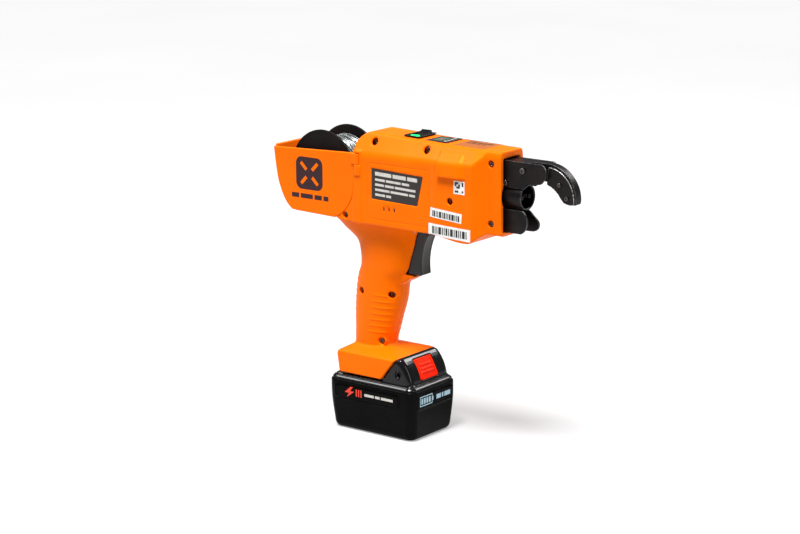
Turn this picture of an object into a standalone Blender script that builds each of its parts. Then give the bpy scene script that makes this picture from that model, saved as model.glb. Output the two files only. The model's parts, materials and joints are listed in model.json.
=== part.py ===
"""Cordless rebar tying tool, modelled as the separate pieces it comes apart into.

Units are metres. +X points to the tying jaw, +Y to the tool's left, +Z up. The origin is the
centre of the battery's flat underside, on which the tool stands.
"""

import math

import bmesh
import bpy
from mathutils import Matrix, Vector

# ---------------------------------------------------------------- driving dimensions
GAP = 0.0003  # running gap between touching pieces
WALL = 0.0026  # housing wall
SEAM = GAP / 2  # each housing half stops this far from the middle plane

# Heights and half widths of the housing
BODY_HALF = 0.0300
NOSE_HALF = 0.0186
NOSE_FRONT_X = 0.1446

# Reel bay
REEL_X = -0.0676
REEL_Z = 0.2563
FLANGE_RADIUS = 0.0400
FLANGE_HALF = 0.0215
SPINDLE_RADIUS = 0.0120
COIL_RADIUS = 0.0305
SEAM_RADIUS = 0.0460  # front edge of the spool door, round the reel
BAY_RADIUS = 0.0438
DOOR_THICK = 0.0025
DOOR_LIP_Y = -0.0190
HINGE_X = -0.0175
HINGE_Y = -0.0292
KNUCKLE_RADIUS = 0.0026

# Twisting and feeding
TWIST_Z = 0.2522
TUBE_RADIUS = 0.0124
TUBE_FRONT_X = 0.1628
WIRE_Z = 0.2790
WIRE_RADIUS = 0.00045
GEAR_MODULE = 0.0007
WHEEL_TEETH = 18
PINION_TEETH = 10
FEED_X = 0.0880
PITCH_RADIUS = WHEEL_TEETH * GEAR_MODULE / 2
PINION_RADIUS = PINION_TEETH * GEAR_MODULE / 2
LOWER_WHEEL_Z = WIRE_Z - PITCH_RADIUS
UPPER_WHEEL_Z = WIRE_Z + PITCH_RADIUS
PINION_X = FEED_X - PITCH_RADIUS - PINION_RADIUS
HOOK_PIVOT_X = 0.1460
HOOK_PIVOT_Y = 0.0034

# Trigger and switches
TRIGGER_HALF = 0.0080
TRIGGER_PIVOT = (0.0380, 0.0, 0.2055)
SWITCH_X = 0.03735
ROCKER_PIVOT_Z = 0.2955
ROCKER_TILT = math.radians(9)

# Battery
BATTERY_SPLIT_Z = 0.0516
CELL_RADIUS = 0.0091
CELL_LENGTH = 0.0650
CELL_PITCH = 0.0200
RELEASE_HALF = 0.0135

# Looks: base colour, roughness, metallic
ORANGE = ((1.0, 0.22, 0.005), 0.42, 0.0)
MATTE_BLACK = ((0.012, 0.012, 0.013), 0.55, 0.0)
GLOSS_BLACK = ((0.010, 0.010, 0.011), 0.18, 0.0)
RED = ((0.80, 0.03, 0.015), 0.35, 0.0)
BLACK_STEEL = ((0.030, 0.030, 0.032), 0.38, 0.9)
BRIGHT_STEEL = ((0.62, 0.62, 0.64), 0.25, 1.0)
BRASS = ((0.72, 0.52, 0.22), 0.30, 1.0)
BOARD_GREEN = ((0.02, 0.20, 0.06), 0.45, 0.0)
CELL_BLUE = ((0.03, 0.16, 0.42), 0.35, 0.0)
PANEL_GREY = ((0.05, 0.06, 0.05), 0.50, 0.0)


# ---------------------------------------------------------------- scene helpers
def clear_scene():
    for obj in list(bpy.data.objects):
        bpy.data.objects.remove(obj, do_unlink=True)


def make_object(name, bm):
    """A scene object from a bmesh, with its faces turned outwards."""
    bmesh.ops.recalc_face_normals(bm, faces=bm.faces)
    mesh = bpy.data.meshes.new(name)
    bm.to_mesh(mesh)
    bm.free()
    obj = bpy.data.objects.new(name, mesh)
    bpy.context.collection.objects.link(obj)
    return obj


def paint(obj, look):
    colour, roughness, metallic = look
    material = bpy.data.materials.new(obj.name)
    material.use_nodes = True
    shader = material.node_tree.nodes["Principled BSDF"]
    shader.inputs["Base Color"].default_value = (*colour, 1.0)
    shader.inputs["Roughness"].default_value = roughness
    shader.inputs["Metallic"].default_value = metallic
    obj.data.materials.append(material)


def piece(name, bm, look, pivot=None, smooth=False):
    """One named piece of the tool. pivot is the empty on its joint's axis."""
    obj = make_object(name, bm)
    paint(obj, look)
    if pivot:
        hang(obj, pivot)
    if smooth:
        obj.data.shade_smooth()
        obj.data.set_sharp_from_angle(angle=math.radians(35))
    return obj


def make_pivot(name, point, parent=None):
    empty = bpy.data.objects.new(name, None)
    empty.location = point
    bpy.context.collection.objects.link(empty)
    if parent:
        hang(empty, parent)
    return empty


def hang(obj, pivot):
    """Parent obj to a pivot without moving it."""
    obj.parent = pivot
    obj.matrix_parent_inverse = Matrix.Translation(-Vector(pivot.location))


def helper(name, bm):
    """A shape that only feeds a Boolean."""
    obj = make_object(name, bm)
    obj.hide_render = True
    obj.display_type = "WIRE"
    return obj


def combine(obj, operation, tool):
    modifier = obj.modifiers.new(tool.name, "BOOLEAN")
    modifier.operation = operation
    modifier.solver = "EXACT"
    modifier.object = tool


def cut(obj, name, bm):
    combine(obj, "DIFFERENCE", helper(name, bm))


def join(obj, name, bm):
    combine(obj, "UNION", helper(name, bm))


def use_manifold(obj):
    """For the many-sided pieces on which the exact solver returns an empty mesh."""
    for modifier in obj.modifiers:
        modifier.solver = "MANIFOLD"


# ---------------------------------------------------------------- outlines
def polar(centre, radius, degrees):
    angle = math.radians(degrees)
    return (centre[0] + radius * math.cos(angle), centre[1] + radius * math.sin(angle))


def arc(centre, radius, start_deg, end_deg, steps):
    sweep = end_deg - start_deg
    return [polar(centre, radius, start_deg + sweep * i / steps) for i in range(steps + 1)]


def arc_through(a, b, c, steps):
    """Points on the circle through a, b and c, from a to c."""
    (ax, ay), (bx, by), (cx, cy) = a, b, c
    d = 2 * (ax * (by - cy) + bx * (cy - ay) + cx * (ay - by))
    a2, b2, c2 = ax * ax + ay * ay, bx * bx + by * by, cx * cx + cy * cy
    ux = (a2 * (by - cy) + b2 * (cy - ay) + c2 * (ay - by)) / d
    uy = (a2 * (cx - bx) + b2 * (ax - cx) + c2 * (bx - ax)) / d
    radius = math.hypot(ax - ux, ay - uy)
    start, middle, end = (math.degrees(math.atan2(y - uy, x - ux)) for x, y in (a, b, c))
    sweep = (end - start) % 360
    if (middle - start) % 360 > sweep:
        sweep -= 360
    return arc((ux, uy), radius, start, start + sweep, steps)


def rounded(corners, steps=3):
    """An outline whose corners (x, y, radius) are rounded off; a corner (x, y) stays sharp."""
    points = []
    for i, corner in enumerate(corners):
        here = Vector(corner[:2])
        radius = corner[2] if len(corner) > 2 else 0.0
        if radius <= 0:
            points.append(tuple(here))
            continue
        to_last = (Vector(corners[i - 1][:2]) - here).normalized()
        to_next = (Vector(corners[(i + 1) % len(corners)][:2]) - here).normalized()
        half = to_last.angle(to_next) / 2
        reach = radius / math.tan(half)
        start, end = here + to_last * reach, here + to_next * reach
        centre = here + (to_last + to_next).normalized() * (radius / math.sin(half))
        first, last = start - centre, end - centre
        for step in range(steps + 1):
            mixed = first.lerp(last, step / steps).normalized() * radius
            points.append(tuple(centre + mixed))
    return points


def rectangle(low_a, high_a, low_b, high_b, radius=0.0):
    corners = ((low_a, low_b), (high_a, low_b), (high_a, high_b), (low_a, high_b))
    return rounded([(a, b, radius) for a, b in corners])


def gear_outline(teeth, centre, phase_deg):
    """Straight-flanked teeth with free clearance at the pitch circle."""
    pitch_radius = teeth * GEAR_MODULE / 2
    root, tip = pitch_radius - 1.2 * GEAR_MODULE, pitch_radius + 0.85 * GEAR_MODULE
    pitch = 360 / teeth
    points = []
    for tooth in range(teeth):
        middle = phase_deg + tooth * pitch
        for share, radius in ((-0.27, root), (-0.08, tip), (0.08, tip), (0.27, root)):
            points.append(polar(centre, radius, middle + share * pitch))
    return points


# ---------------------------------------------------------------- solids
def at(axis, a, b, along):
    """A point from two coordinates across an axis and one along it."""
    return {"X": (along, a, b), "Y": (a, along, b), "Z": (a, b, along)}[axis]


def loft(rings):
    """A closed solid through rings of equally many points, flat at both ends."""
    bm = bmesh.new()
    loops = [[bm.verts.new(point) for point in ring] for ring in rings]
    for near, far in zip(loops, loops[1:]):
        for i in range(len(near)):
            bm.faces.new((near[i - 1], near[i], far[i], far[i - 1]))
    bm.faces.new(loops[0])
    bm.faces.new(loops[-1])
    bmesh.ops.triangulate(bm, faces=bm.faces)
    return bm


def prism(outline, low, high, axis="Y"):
    return loft([[at(axis, a, b, along) for a, b in outline] for along in (low, high)])


def block(low, high):
    return prism(rectangle(low[0], high[0], low[2], high[2]), low[1], high[1])


def turned(profile, centre, axis, steps):
    """A turned solid. profile holds (radius, place along the axis) points; radius 0 is the axis."""
    bm = bmesh.new()
    rings = []
    for radius, along in profile:
        if radius == 0:
            rings.append([bm.verts.new(at(axis, centre[0], centre[1], along))] * steps)
            continue
        ring = arc(centre, radius, 0, 360 * (steps - 1) / steps, steps - 1)
        rings.append([bm.verts.new(at(axis, a, b, along)) for a, b in ring])
    last = len(rings) if profile[0][0] else len(rings) - 1
    for k in range(last):
        near, far = rings[k], rings[(k + 1) % len(rings)]
        for i in range(steps):
            corners = list(dict.fromkeys((near[i - 1], near[i], far[i], far[i - 1])))
            bm.faces.new(corners)
    bmesh.ops.triangulate(bm, faces=bm.faces)
    return bm


def rod(radius, centre, low, high, axis="Y", steps=12):
    return turned([(0, low), (radius, low), (radius, high), (0, high)], centre, axis, steps)


def ring(outer, inner, centre, low, high, axis="Y", steps=16):
    profile = [(inner, low), (outer, low), (outer, high), (inner, high)]
    return turned(profile, centre, axis, steps)


def merged(*shapes):
    """Several shapes that stay apart, as one bmesh."""
    whole = shapes[0]
    for shape in shapes[1:]:
        mesh = bpy.data.meshes.new("merge")
        shape.to_mesh(mesh)
        whole.from_mesh(mesh)
        shape.free()
        bpy.data.meshes.remove(mesh)
    return whole


# ---------------------------------------------------------------- housing
# Each barrel station: x, half width, floor, shoulder, crest, half width of the crest
BARREL = (
    (-0.0226, BODY_HALF, 0.2105, 0.2785, 0.2885, 0.0215),
    (-0.0190, BODY_HALF, 0.2105, 0.2786, 0.2950, 0.0195),
    (-0.0080, BODY_HALF, 0.2105, 0.2790, 0.2996, 0.0180),
    (0.0360, BODY_HALF, 0.2105, 0.2796, 0.2980, 0.0180),
    (0.0700, BODY_HALF, 0.2105, 0.2803, 0.2966, 0.0180),
    (0.0900, BODY_HALF, 0.2095, 0.2806, 0.2962, 0.0180),
    (0.1100, BODY_HALF, 0.2075, 0.2810, 0.2958, 0.0180),
    (0.1180, BODY_HALF, 0.2090, 0.2830, 0.2956, 0.0180),
    (0.1270, NOSE_HALF, 0.2155, 0.2915, 0.2953, 0.0165),
    (NOSE_FRONT_X, NOSE_HALF, 0.2160, 0.2915, 0.2950, 0.0165),
)
# Each grip station: z, centre x, half length, half width
GRIP = (
    (0.0780, -0.0190, 0.0270, 0.0250),
    (0.0850, -0.0192, 0.0250, 0.0222),
    (0.0900, -0.0192, 0.0232, 0.0198),
    (0.0970, -0.0188, 0.0214, 0.0172),
    (0.1110, -0.0163, 0.0228, 0.0168),
    (0.1330, -0.0113, 0.0252, 0.0172),
    (0.1540, -0.0070, 0.0256, 0.0175),
    (0.1650, 0.0005, 0.0290, 0.0178),
    (0.1780, 0.0030, 0.0308, 0.0182),
    (0.1900, 0.0015, 0.0365, 0.0195),
    (0.2010, -0.0075, 0.0485, 0.0225),
    (0.2130, -0.0140, 0.0600, 0.0270),
)
FOOT_FRONT = ((0.0114, 0.0580), (0.0285, 0.0798))
FOOT_TOP_Z = 0.0885
FOOT_SIDE_TOP_Z = 0.0802
FOOT_HALF = 0.0335
TOWER_BAY_HALF = 0.0285
# Housing screws: name, x, z, y of the head's seat, y of the tip, y where the boss ends
SCREWS = (
    ("nose_screw_upper", 0.1336, 0.2830, -0.0163, -0.0120, -0.0116),
    ("nose_screw_lower", 0.1331, 0.2260, -0.0163, -0.0110, -0.0102),
    ("side_screw", 0.0945, 0.2450, -0.0268, -0.0160, -0.0145),
    ("heel_screw", -0.0332, 0.2165, -0.0272, -0.0150, -0.0145),
    ("crest_screw_rear", -0.0011, 0.2912, -0.0192, 0.0100, 0.0222),
    ("crest_screw_front", 0.0621, 0.2895, -0.0200, 0.0100, 0.0222),
    ("grip_screw_rear", -0.0252, 0.1390, -0.0125, 0.0080, 0.0142),
    ("grip_screw_front", 0.0103, 0.1390, -0.0100, 0.0080, 0.0116),
    ("grip_screw_lower", -0.0023, 0.0906, -0.0135, 0.0080, 0.0145),
)
SCREW_HEAD = 0.0024
SCREW_SHANK = 0.0012
HEAD_HEIGHT = 0.0018
BOSS_RADIUS = 0.0036


def barrel_ring(station, inset=0.0):
    x, half, floor, shoulder, crest, crest_half = station
    half -= inset
    floor += inset
    shoulder -= 0.4 * inset
    crest -= inset
    crest_half -= 0.6 * inset
    corner, part = 0.0030, 0.0009
    right = [
        (half - corner, floor),
        (half - part, floor + part),
        (half, floor + corner),
        (half, shoulder),
        (crest_half, crest),
    ]
    left = [(-y, z) for y, z in reversed(right)]
    return [(x, y, z) for y, z in right + left]


def oval_ring(z, centre_x, half_x, half_y, steps=20):
    """A squarish oval: the grip's cross-section."""
    power = 2 / 2.6
    points = []
    for i in range(steps):
        angle = 2 * math.pi * (i + 0.5) / steps
        c, s = math.cos(angle), math.sin(angle)
        x = centre_x + half_x * math.copysign(abs(c) ** power, c)
        points.append((x, half_y * math.copysign(abs(s) ** power, s), z))
    return points


def bay_outline(inset, front_radius, top_z):
    """Side view of the reel bay: rear curve, floor, and front wall round the reel."""
    start = -math.degrees(math.asin((REEL_Z - 0.2130 - inset) / front_radius))
    front = arc((REEL_X, REEL_Z), front_radius, start, -14, 7)
    front_x = max(x for x, z in front)
    return bay_rear(inset, top_z) + front + [(front_x, top_z)]


def bay_rear(inset, top_z):
    rear = [(-0.1219 + inset, top_z), (-0.1169 + inset, 0.2418), (-0.1102 + inset, 0.2254)]
    return rear + [(-0.1013 + 0.6 * inset, 0.2147 + 0.6 * inset), (-0.0960, 0.2140 + inset)]


def foot_ring(y, top_z):
    outline = [(-0.0420, 0.0580), *FOOT_FRONT, (0.0100, top_z), (-0.0380, top_z), (-0.0445, 0.0750)]
    return [(x, y, z) for x, z in outline]


def make_shell():
    """The whole housing before it is split into its two halves."""
    shell = helper("shell", loft([barrel_ring(station) for station in BARREL]))
    bay = bay_rear(0, 0.2780) + [(-0.0470, 0.2129), (-0.0396, 0.2111), (-0.0130, 0.2109), (-0.0130, 0.2780)]
    join(shell, "shell_bay", prism(bay, -BODY_HALF + 0.0001, BODY_HALF - 0.0001))
    join(shell, "shell_grip", loft([oval_ring(*station) for station in GRIP]))
    foot = [(-FOOT_HALF, FOOT_SIDE_TOP_Z), (-0.0220, FOOT_TOP_Z), (0.0220, FOOT_TOP_Z)]
    foot += [(FOOT_HALF, FOOT_SIDE_TOP_Z)]
    join(shell, "shell_foot", loft([foot_ring(y, top) for y, top in foot]))
    lip = [(0.0150, 0.1500), (0.0250, 0.1520), (0.0340, 0.1585), (0.0315, 0.1602), (0.0150, 0.1602)]
    join(shell, "finger_rest", prism(lip, -0.0130, 0.0130))
    for side in (-1, 1):
        name = "shoulder_pad_right" if side < 0 else "shoulder_pad_left"
        pad = rectangle(0.0810, 0.1120, 0.2680, 0.2816, 0.0015)
        low, high = sorted((side * 0.0270, side * 0.0312))
        join(shell, name, prism(pad, low, high))

    hollow = [barrel_ring(station, WALL) for station in BARREL]
    hollow[0] = [(-0.0198, y, z) for x, y, z in hollow[1]]
    hollow[1] = [(-0.0150, y, z) for x, y, z in hollow[1]]
    hollow[-1] = [(NOSE_FRONT_X - 0.0030, y, z) for x, y, z in hollow[-1]]
    cut(shell, "barrel_hollow", loft(hollow))
    inside = [oval_ring(z, x, a - WALL, b - WALL) for z, x, a, b in GRIP[:-2]]
    inside = [oval_ring(0.0740, -0.0190, 0.0200, 0.0180), *inside]
    inside += [oval_ring(0.2010, -0.0020, 0.0370, 0.0190), oval_ring(0.2160, 0.0, 0.0380, 0.0200)]
    cut(shell, "grip_hollow", loft(inside))
    cut(shell, "tower_bay", block((-0.0385, -TOWER_BAY_HALF, 0.0500), (0.0450, TOWER_BAY_HALF, 0.0770)))
    cut(shell, "rail_grooves", block((-0.0370, -0.0303, 0.0637), (0.0450, 0.0303, 0.0683)))
    cut(shell, "bay_hollow", prism(bay_outline(0.0022, BAY_RADIUS, 0.3050), -0.0400, 0.0275))
    lip_room = block((-0.1300, -0.0400, 0.2050), (-0.0996, DOOR_LIP_Y + GAP, 0.3000))
    cut(shell, "door_lip_room", lip_room)
    cut(shell, "wire_entry", block((-0.0300, -0.0025, 0.2765), (-0.0150, 0.0025, 0.2835)))

    add_openings(shell)
    bosses = [rod(BOSS_RADIUS, (x, z), seat - 0.0016, end, steps=10) for _, x, z, seat, _, end in SCREWS]
    join(shell, "screw_bosses", merged(*bosses))
    add_door_seat(shell)
    holes = []
    for _, x, z, seat, tip, _ in SCREWS:
        wide, narrow = SCREW_HEAD + 0.0005, SCREW_SHANK + GAP
        profile = [(0, -0.0400), (wide, -0.0400), (wide, seat), (narrow, seat)]
        profile += [(narrow, tip + 0.0008), (0, tip + 0.0008)]
        holes.append(turned(profile, (x, z), "Y", 10))
    cut(shell, "screw_holes", merged(*holes))
    use_manifold(shell)
    return shell


def add_openings(shell):
    """Openings for the jaw, trigger, switch, panel and label."""
    jaw = rectangle(-0.0137, 0.0137, 0.2170, 0.2885, 0.0020)
    cut(shell, "jaw_opening", prism(jaw, 0.1380, 0.1600, "X"))
    cut(shell, "tube_opening", rod(0.0160, (0, TWIST_Z), 0.1381, 0.1590, "X", 20))
    cut(shell, "trigger_opening", block((0.0165, -0.0084, 0.1604), (0.0600, 0.0084, 0.2098)))
    cut(shell, "trigger_pin_hole", rod(0.0018, (TRIGGER_PIVOT[0], TRIGGER_PIVOT[2]), -0.0120, 0.0120))
    half_x, half_y = 0.0082, 0.0135
    switch = rectangle(SWITCH_X - half_x, SWITCH_X + half_x, -half_y, half_y)
    cut(shell, "switch_opening", prism(switch, 0.2900, 0.3050, "Z"))
    cut(shell, "panel_recess", block((0.0527, -0.0133, 0.2959), (0.0783, 0.0133, 0.3050)))
    label = [(0.0018, 0.2652), (0.0628, 0.2652), (0.0573, 0.2393), (0.0015, 0.2393)]
    cut(shell, "label_recess", prism(label, -0.0400, -BODY_HALF + 0.0006))


def add_door_seat(shell):
    """Room for the door plate and its hinge, and the housing's own hinge knuckle."""
    recess = arc((REEL_X, REEL_Z), SEAM_RADIUS + GAP, -75, -14, 8)
    recess = [(-0.1300, 0.2050), (-0.0700, 0.2050)] + [(min(x, -0.0230), z) for x, z in recess]
    recess += [(-0.0230, 0.3020), (-0.1300, 0.3020)]
    cut(shell, "door_recess", prism(recess, -0.0400, -BODY_HALF + DOOR_THICK + GAP))
    cut(shell, "hinge_pocket", block((-0.0250, -0.0400, 0.2575), (-0.0140, -0.0260, 0.2800)))
    knuckle = [(HINGE_X, HINGE_Y - KNUCKLE_RADIUS), (-0.0130, -0.0300), (-0.0130, -0.0255), (-0.0200, -0.0255)]
    knuckle += arc((HINGE_X, HINGE_Y), KNUCKLE_RADIUS, 150, 250, 5)
    join(shell, "housing_knuckle", prism(knuckle, 0.2570, 0.2680, "Z"))
    cut(shell, "hinge_bore", rod(0.0015, (HINGE_X, HINGE_Y), 0.2400, 0.2700, "Z"))


def make_housing():
    shell = make_shell()
    for name, low, high in (("housing_right", -0.0600, -SEAM), ("housing_left", SEAM, 0.0600)):
        half = piece(name, block((-0.2000, low, 0.0100), (0.3000, high, 0.4000)), ORANGE)
        combine(half, "INTERSECT", shell)
        use_manifold(half)


def make_screws():
    for name, x, z, seat, tip, _ in SCREWS:
        head_low = seat - HEAD_HEIGHT
        near = seat - GAP
        profile = [(0, head_low), (SCREW_HEAD, head_low), (SCREW_HEAD, near), (SCREW_SHANK, near)]
        profile += [(SCREW_SHANK, tip), (0, tip)]
        piece(name, turned(profile, (x, z), "Y", 10), BLACK_STEEL, smooth=True)


# ---------------------------------------------------------------- reel bay
def make_door():
    pivot = make_pivot("door_axis", (HINGE_X, HINGE_Y, 0.2680))
    outline = bay_outline(0, SEAM_RADIUS, 0.2756)
    outline = [(min(x, -0.0233), z) for x, z in outline[:-1]] + [(-0.0233, 0.2794)]
    outer, inner = -BODY_HALF, -BODY_HALF + DOOR_THICK
    door = piece("spool_door", prism(outline, outer, inner), ORANGE, pivot)
    lip = [p for p in bay_outline(0, SEAM_RADIUS, 0.2756) if p[0] < -0.1010]
    back = [p for p in bay_outline(0.0020, SEAM_RADIUS, 0.2756) if p[0] < -0.0990]
    join(door, "door_lip", prism(lip + back[::-1], inner - 0.0010, DOOR_LIP_Y))
    tab = [(-0.0245, -0.0299), (HINGE_X, HINGE_Y - KNUCKLE_RADIUS)]
    tab += arc((HINGE_X, HINGE_Y), KNUCKLE_RADIUS, -60, 120, 7) + [(-0.0245, -0.0276)]
    join(door, "door_knuckle", prism(tab, 0.2683, 0.2788, "Z"))
    cut(door, "door_bore", rod(0.0015, (HINGE_X, HINGE_Y), 0.2600, 0.2850, "Z"))
    pin = rod(0.0012, (HINGE_X, HINGE_Y), 0.2580, 0.2786, "Z")
    piece("door_hinge_pin", pin, BRIGHT_STEEL, smooth=True)


def make_reel():
    centre = (REEL_X, REEL_Z)
    spindle = [(0, 0.0272), (0.0170, 0.0272), (0.0170, 0.0225), (SPINDLE_RADIUS, 0.0225)]
    spindle += [(SPINDLE_RADIUS, -0.0190), (0.0100, -0.0210), (0, -0.0210)]
    piece("reel_spindle", turned(spindle, centre, "Y", 24), MATTE_BLACK, smooth=True)
    pivot = make_pivot("reel_axis", (REEL_X, 0, REEL_Z))
    bore, core, thick = SPINDLE_RADIUS + 0.0004, 0.0160, 0.0020
    inner = FLANGE_HALF - thick
    reel = [(bore, -FLANGE_HALF), (FLANGE_RADIUS, -FLANGE_HALF), (FLANGE_RADIUS, -inner)]
    reel += [(core, -inner), (core, inner), (FLANGE_RADIUS, inner), (FLANGE_RADIUS, FLANGE_HALF)]
    reel += [(bore, FLANGE_HALF)]
    piece("wire_reel", turned(reel, centre, "Y", 40), MATTE_BLACK, pivot, smooth=True)
    coil = ring(COIL_RADIUS, core + GAP, centre, -inner + GAP, inner - GAP, steps=32)
    piece("wire_coil", coil, BRIGHT_STEEL, pivot, smooth=True)


def make_tie_wire():
    """The wire from the coil through the feed wheels to the cutting edge."""
    route = [(-0.0595, 0.2862), (-0.0480, 0.2844), (-0.0360, 0.2825), (-0.0240, 0.2807)]
    route += [(-0.0120, 0.2795), (0.0000, WIRE_Z), (0.0700, WIRE_Z), (0.1493, WIRE_Z)]
    curve = bpy.data.curves.new("tie_wire", "CURVE")
    curve.dimensions = "3D"
    curve.bevel_depth = WIRE_RADIUS
    curve.bevel_resolution = 2
    curve.use_fill_caps = True
    spline = curve.splines.new("POLY")
    spline.points.add(len(route) - 1)
    for point, (x, z) in zip(spline.points, route):
        point.co = (x, 0, z, 1)
    obj = bpy.data.objects.new("tie_wire", curve)
    bpy.context.collection.objects.link(obj)
    paint(obj, BRIGHT_STEEL)


# ---------------------------------------------------------------- wire feed
def make_feed():
    for name, z, phase in (("lower", LOWER_WHEEL_Z, 10), ("upper", UPPER_WHEEL_Z, 0)):
        pivot = make_pivot(f"feed_axis_{name}", (FEED_X, 0, z))
        face, groove = PITCH_RADIUS - GAP / 2, PITCH_RADIUS - 0.0008
        teeth = prism(gear_outline(WHEEL_TEETH, (FEED_X, z), phase), 0.0016, 0.0052)
        wheel = piece(f"feed_wheel_{name}", teeth, BRASS, pivot)
        cut(wheel, f"feed_bore_{name}", rod(0.0019, (FEED_X, z), -0.0100, 0.0100))
        profile = [(0.0023, -0.0030), (face, -0.0030), (face, -0.0008), (groove, 0), (face, 0.0008)]
        profile += [(face, 0.0012), (0.0045, 0.0012), (0.0045, 0.0021), (0.0023, 0.0021)]
        join(wheel, f"feed_roller_{name}", turned(profile, (FEED_X, z), "Y", 24))
    pivot = make_pivot("pinion_axis", (PINION_X, 0, LOWER_WHEEL_Z))
    centre = (PINION_X, LOWER_WHEEL_Z)
    pinion = piece("feed_pinion", prism(gear_outline(PINION_TEETH, centre, 0), 0.0015, 0.0053), BRASS, pivot)
    cut(pinion, "pinion_bore", rod(0.0014, centre, -0.0100, 0.0200, steps=16))
    use_manifold(pinion)
    motor = [(0, 0.0008), (0.0010, 0.0008), (0.0010, 0.0060), (0.0090, 0.0060)]
    motor += [(0.0090, 0.0230), (0.0030, 0.0230), (0.0030, 0.0245), (0, 0.0245)]
    piece("feed_motor", turned(motor, centre, "Y", 20), BRIGHT_STEEL, smooth=True)
    bracket = piece("feed_bracket", block((0.0800, -0.0062, 0.2640), (0.0960, -0.0036, 0.2918)), BLACK_STEEL)
    axles = [rod(0.0015, (FEED_X, z), -0.0050, 0.0060) for z in (LOWER_WHEEL_Z, UPPER_WHEEL_Z)]
    join(bracket, "feed_axles", merged(*axles))


# ---------------------------------------------------------------- twisting drive
def make_twist_drive():
    centre = (0, TWIST_Z)
    can = [(0, -0.0190), (0.0060, -0.0190), (0.0060, -0.0165), (0.0175, -0.0165)]
    can += [(0.0175, 0.0390), (0.0080, 0.0390), (0.0080, 0.0400), (0, 0.0400)]
    piece("twist_motor", turned(can, centre, "X", 24), BRIGHT_STEEL, smooth=True)
    case = [(0, 0.0403), (0.0190, 0.0403), (0.0190, 0.0600), (0.0110, 0.0660), (0.0045, 0.0660)]
    case += [(0.0045, 0.0500), (0, 0.0500)]
    piece("gearbox_case", turned(case, centre, "X", 24), BLACK_STEEL, smooth=True)
    piece("spindle_bearing", ring(0.0090, 0.0043, centre, 0.0665, 0.0720, "X", 20), BRIGHT_STEEL, smooth=True)

    pivot = make_pivot("twist_axis", (0.1000, 0, TWIST_Z))
    shaft = piece("twist_shaft", rod(0.0040, centre, 0.0520, 0.1400, "X", 16), BRIGHT_STEEL, pivot)
    join(shaft, "shaft_head", block((0.1385, -0.0064, TWIST_Z - 0.0048), (0.1500, 0.0064, TWIST_Z + 0.0048)))
    cut(shaft, "hook_slot", block((0.1410, -0.0100, TWIST_Z - 0.0023), (0.1600, 0.0100, TWIST_Z + 0.0023)))
    pins = [rod(0.0010, (HOOK_PIVOT_X, y), TWIST_Z - 0.0035, TWIST_Z + 0.0035, "Z", 10)
            for y in (-HOOK_PIVOT_Y, HOOK_PIVOT_Y)]
    join(shaft, "hook_pins", merged(*pins))
    sleeve_axis = make_pivot("sleeve_axis", (0.1000, 0, TWIST_Z), pivot)
    sleeve = [(0.0044, 0.0920), (0.0090, 0.0920), (0.0090, 0.0970), (0.0064, 0.0970)]
    sleeve += [(0.0064, 0.1315), (0.0044, 0.1315)]
    piece("twist_sleeve", turned(sleeve, centre, "X", 20), BLACK_STEEL, sleeve_axis, smooth=True)
    make_hooks(pivot)

    tube = [(0.0106, 0.1170), (TUBE_RADIUS, 0.1170), (TUBE_RADIUS, 0.1280), (0.0152, 0.1280)]
    tube += [(0.0152, 0.1310), (TUBE_RADIUS, 0.1310), (TUBE_RADIUS, TUBE_FRONT_X)]
    tube += [(0.0106, TUBE_FRONT_X)]
    piece("twister_tube", turned(tube, centre, "X", 32), BLACK_STEEL, smooth=True)


def make_hooks(parent):
    for name, side in (("right", -1), ("left", 1)):
        y = side * HOOK_PIVOT_Y
        pivot = make_pivot(f"hook_axis_{name}", (HOOK_PIVOT_X, y, TWIST_Z), parent)
        outline = [(0.1425, 0.0024), (0.1490, 0.0016), (0.1535, 0.0036), (0.1575, 0.0058)]
        outline += [(0.1600, 0.0042), (0.1612, 0.0050), (0.1606, 0.0078), (0.1580, 0.0088)]
        outline += [(0.1525, 0.0076), (0.1480, 0.0054), (0.1425, 0.0044)]
        points = [(x, side * across) for x, across in outline]
        hook = prism(points, TWIST_Z - 0.0019, TWIST_Z + 0.0019, "Z")
        obj = piece(f"hook_{name}", hook, BRIGHT_STEEL, pivot)
        bore = rod(0.0013, (HOOK_PIVOT_X, y), TWIST_Z - 0.0100, TWIST_Z + 0.0100, "Z", 10)
        cut(obj, f"hook_bore_{name}", bore)


# ---------------------------------------------------------------- jaw
PLATE_INNER = 0.0089
PLATE_OUTER = 0.0110
CURL_ARM_HALF = 0.0043
CURL_PLATE_OUTER = 0.0065
CURL_INNER = ((0.2100, 0.2516), (0.2055, 0.2530), (0.2018, 0.2585), (0.1961, 0.2638), (0.1877, 0.2680))
JAW_SCREWS = (
    ("jaw_screw_upper", 0.1646, 0.2790, PLATE_OUTER, 0.0040, 0.0028),
    ("jaw_screw_lower", 0.1449, 0.2660, PLATE_OUTER, 0.0050, 0.0028),
    ("curl_screw_upper", 0.2023, 0.2690, CURL_PLATE_OUTER, 0.0015, 0.0020),
    ("curl_screw_lower", 0.2105, 0.2575, CURL_PLATE_OUTER, 0.0015, 0.0020),
)
CUTTER_PIVOT = (0.0050, 0.2690)


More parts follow.
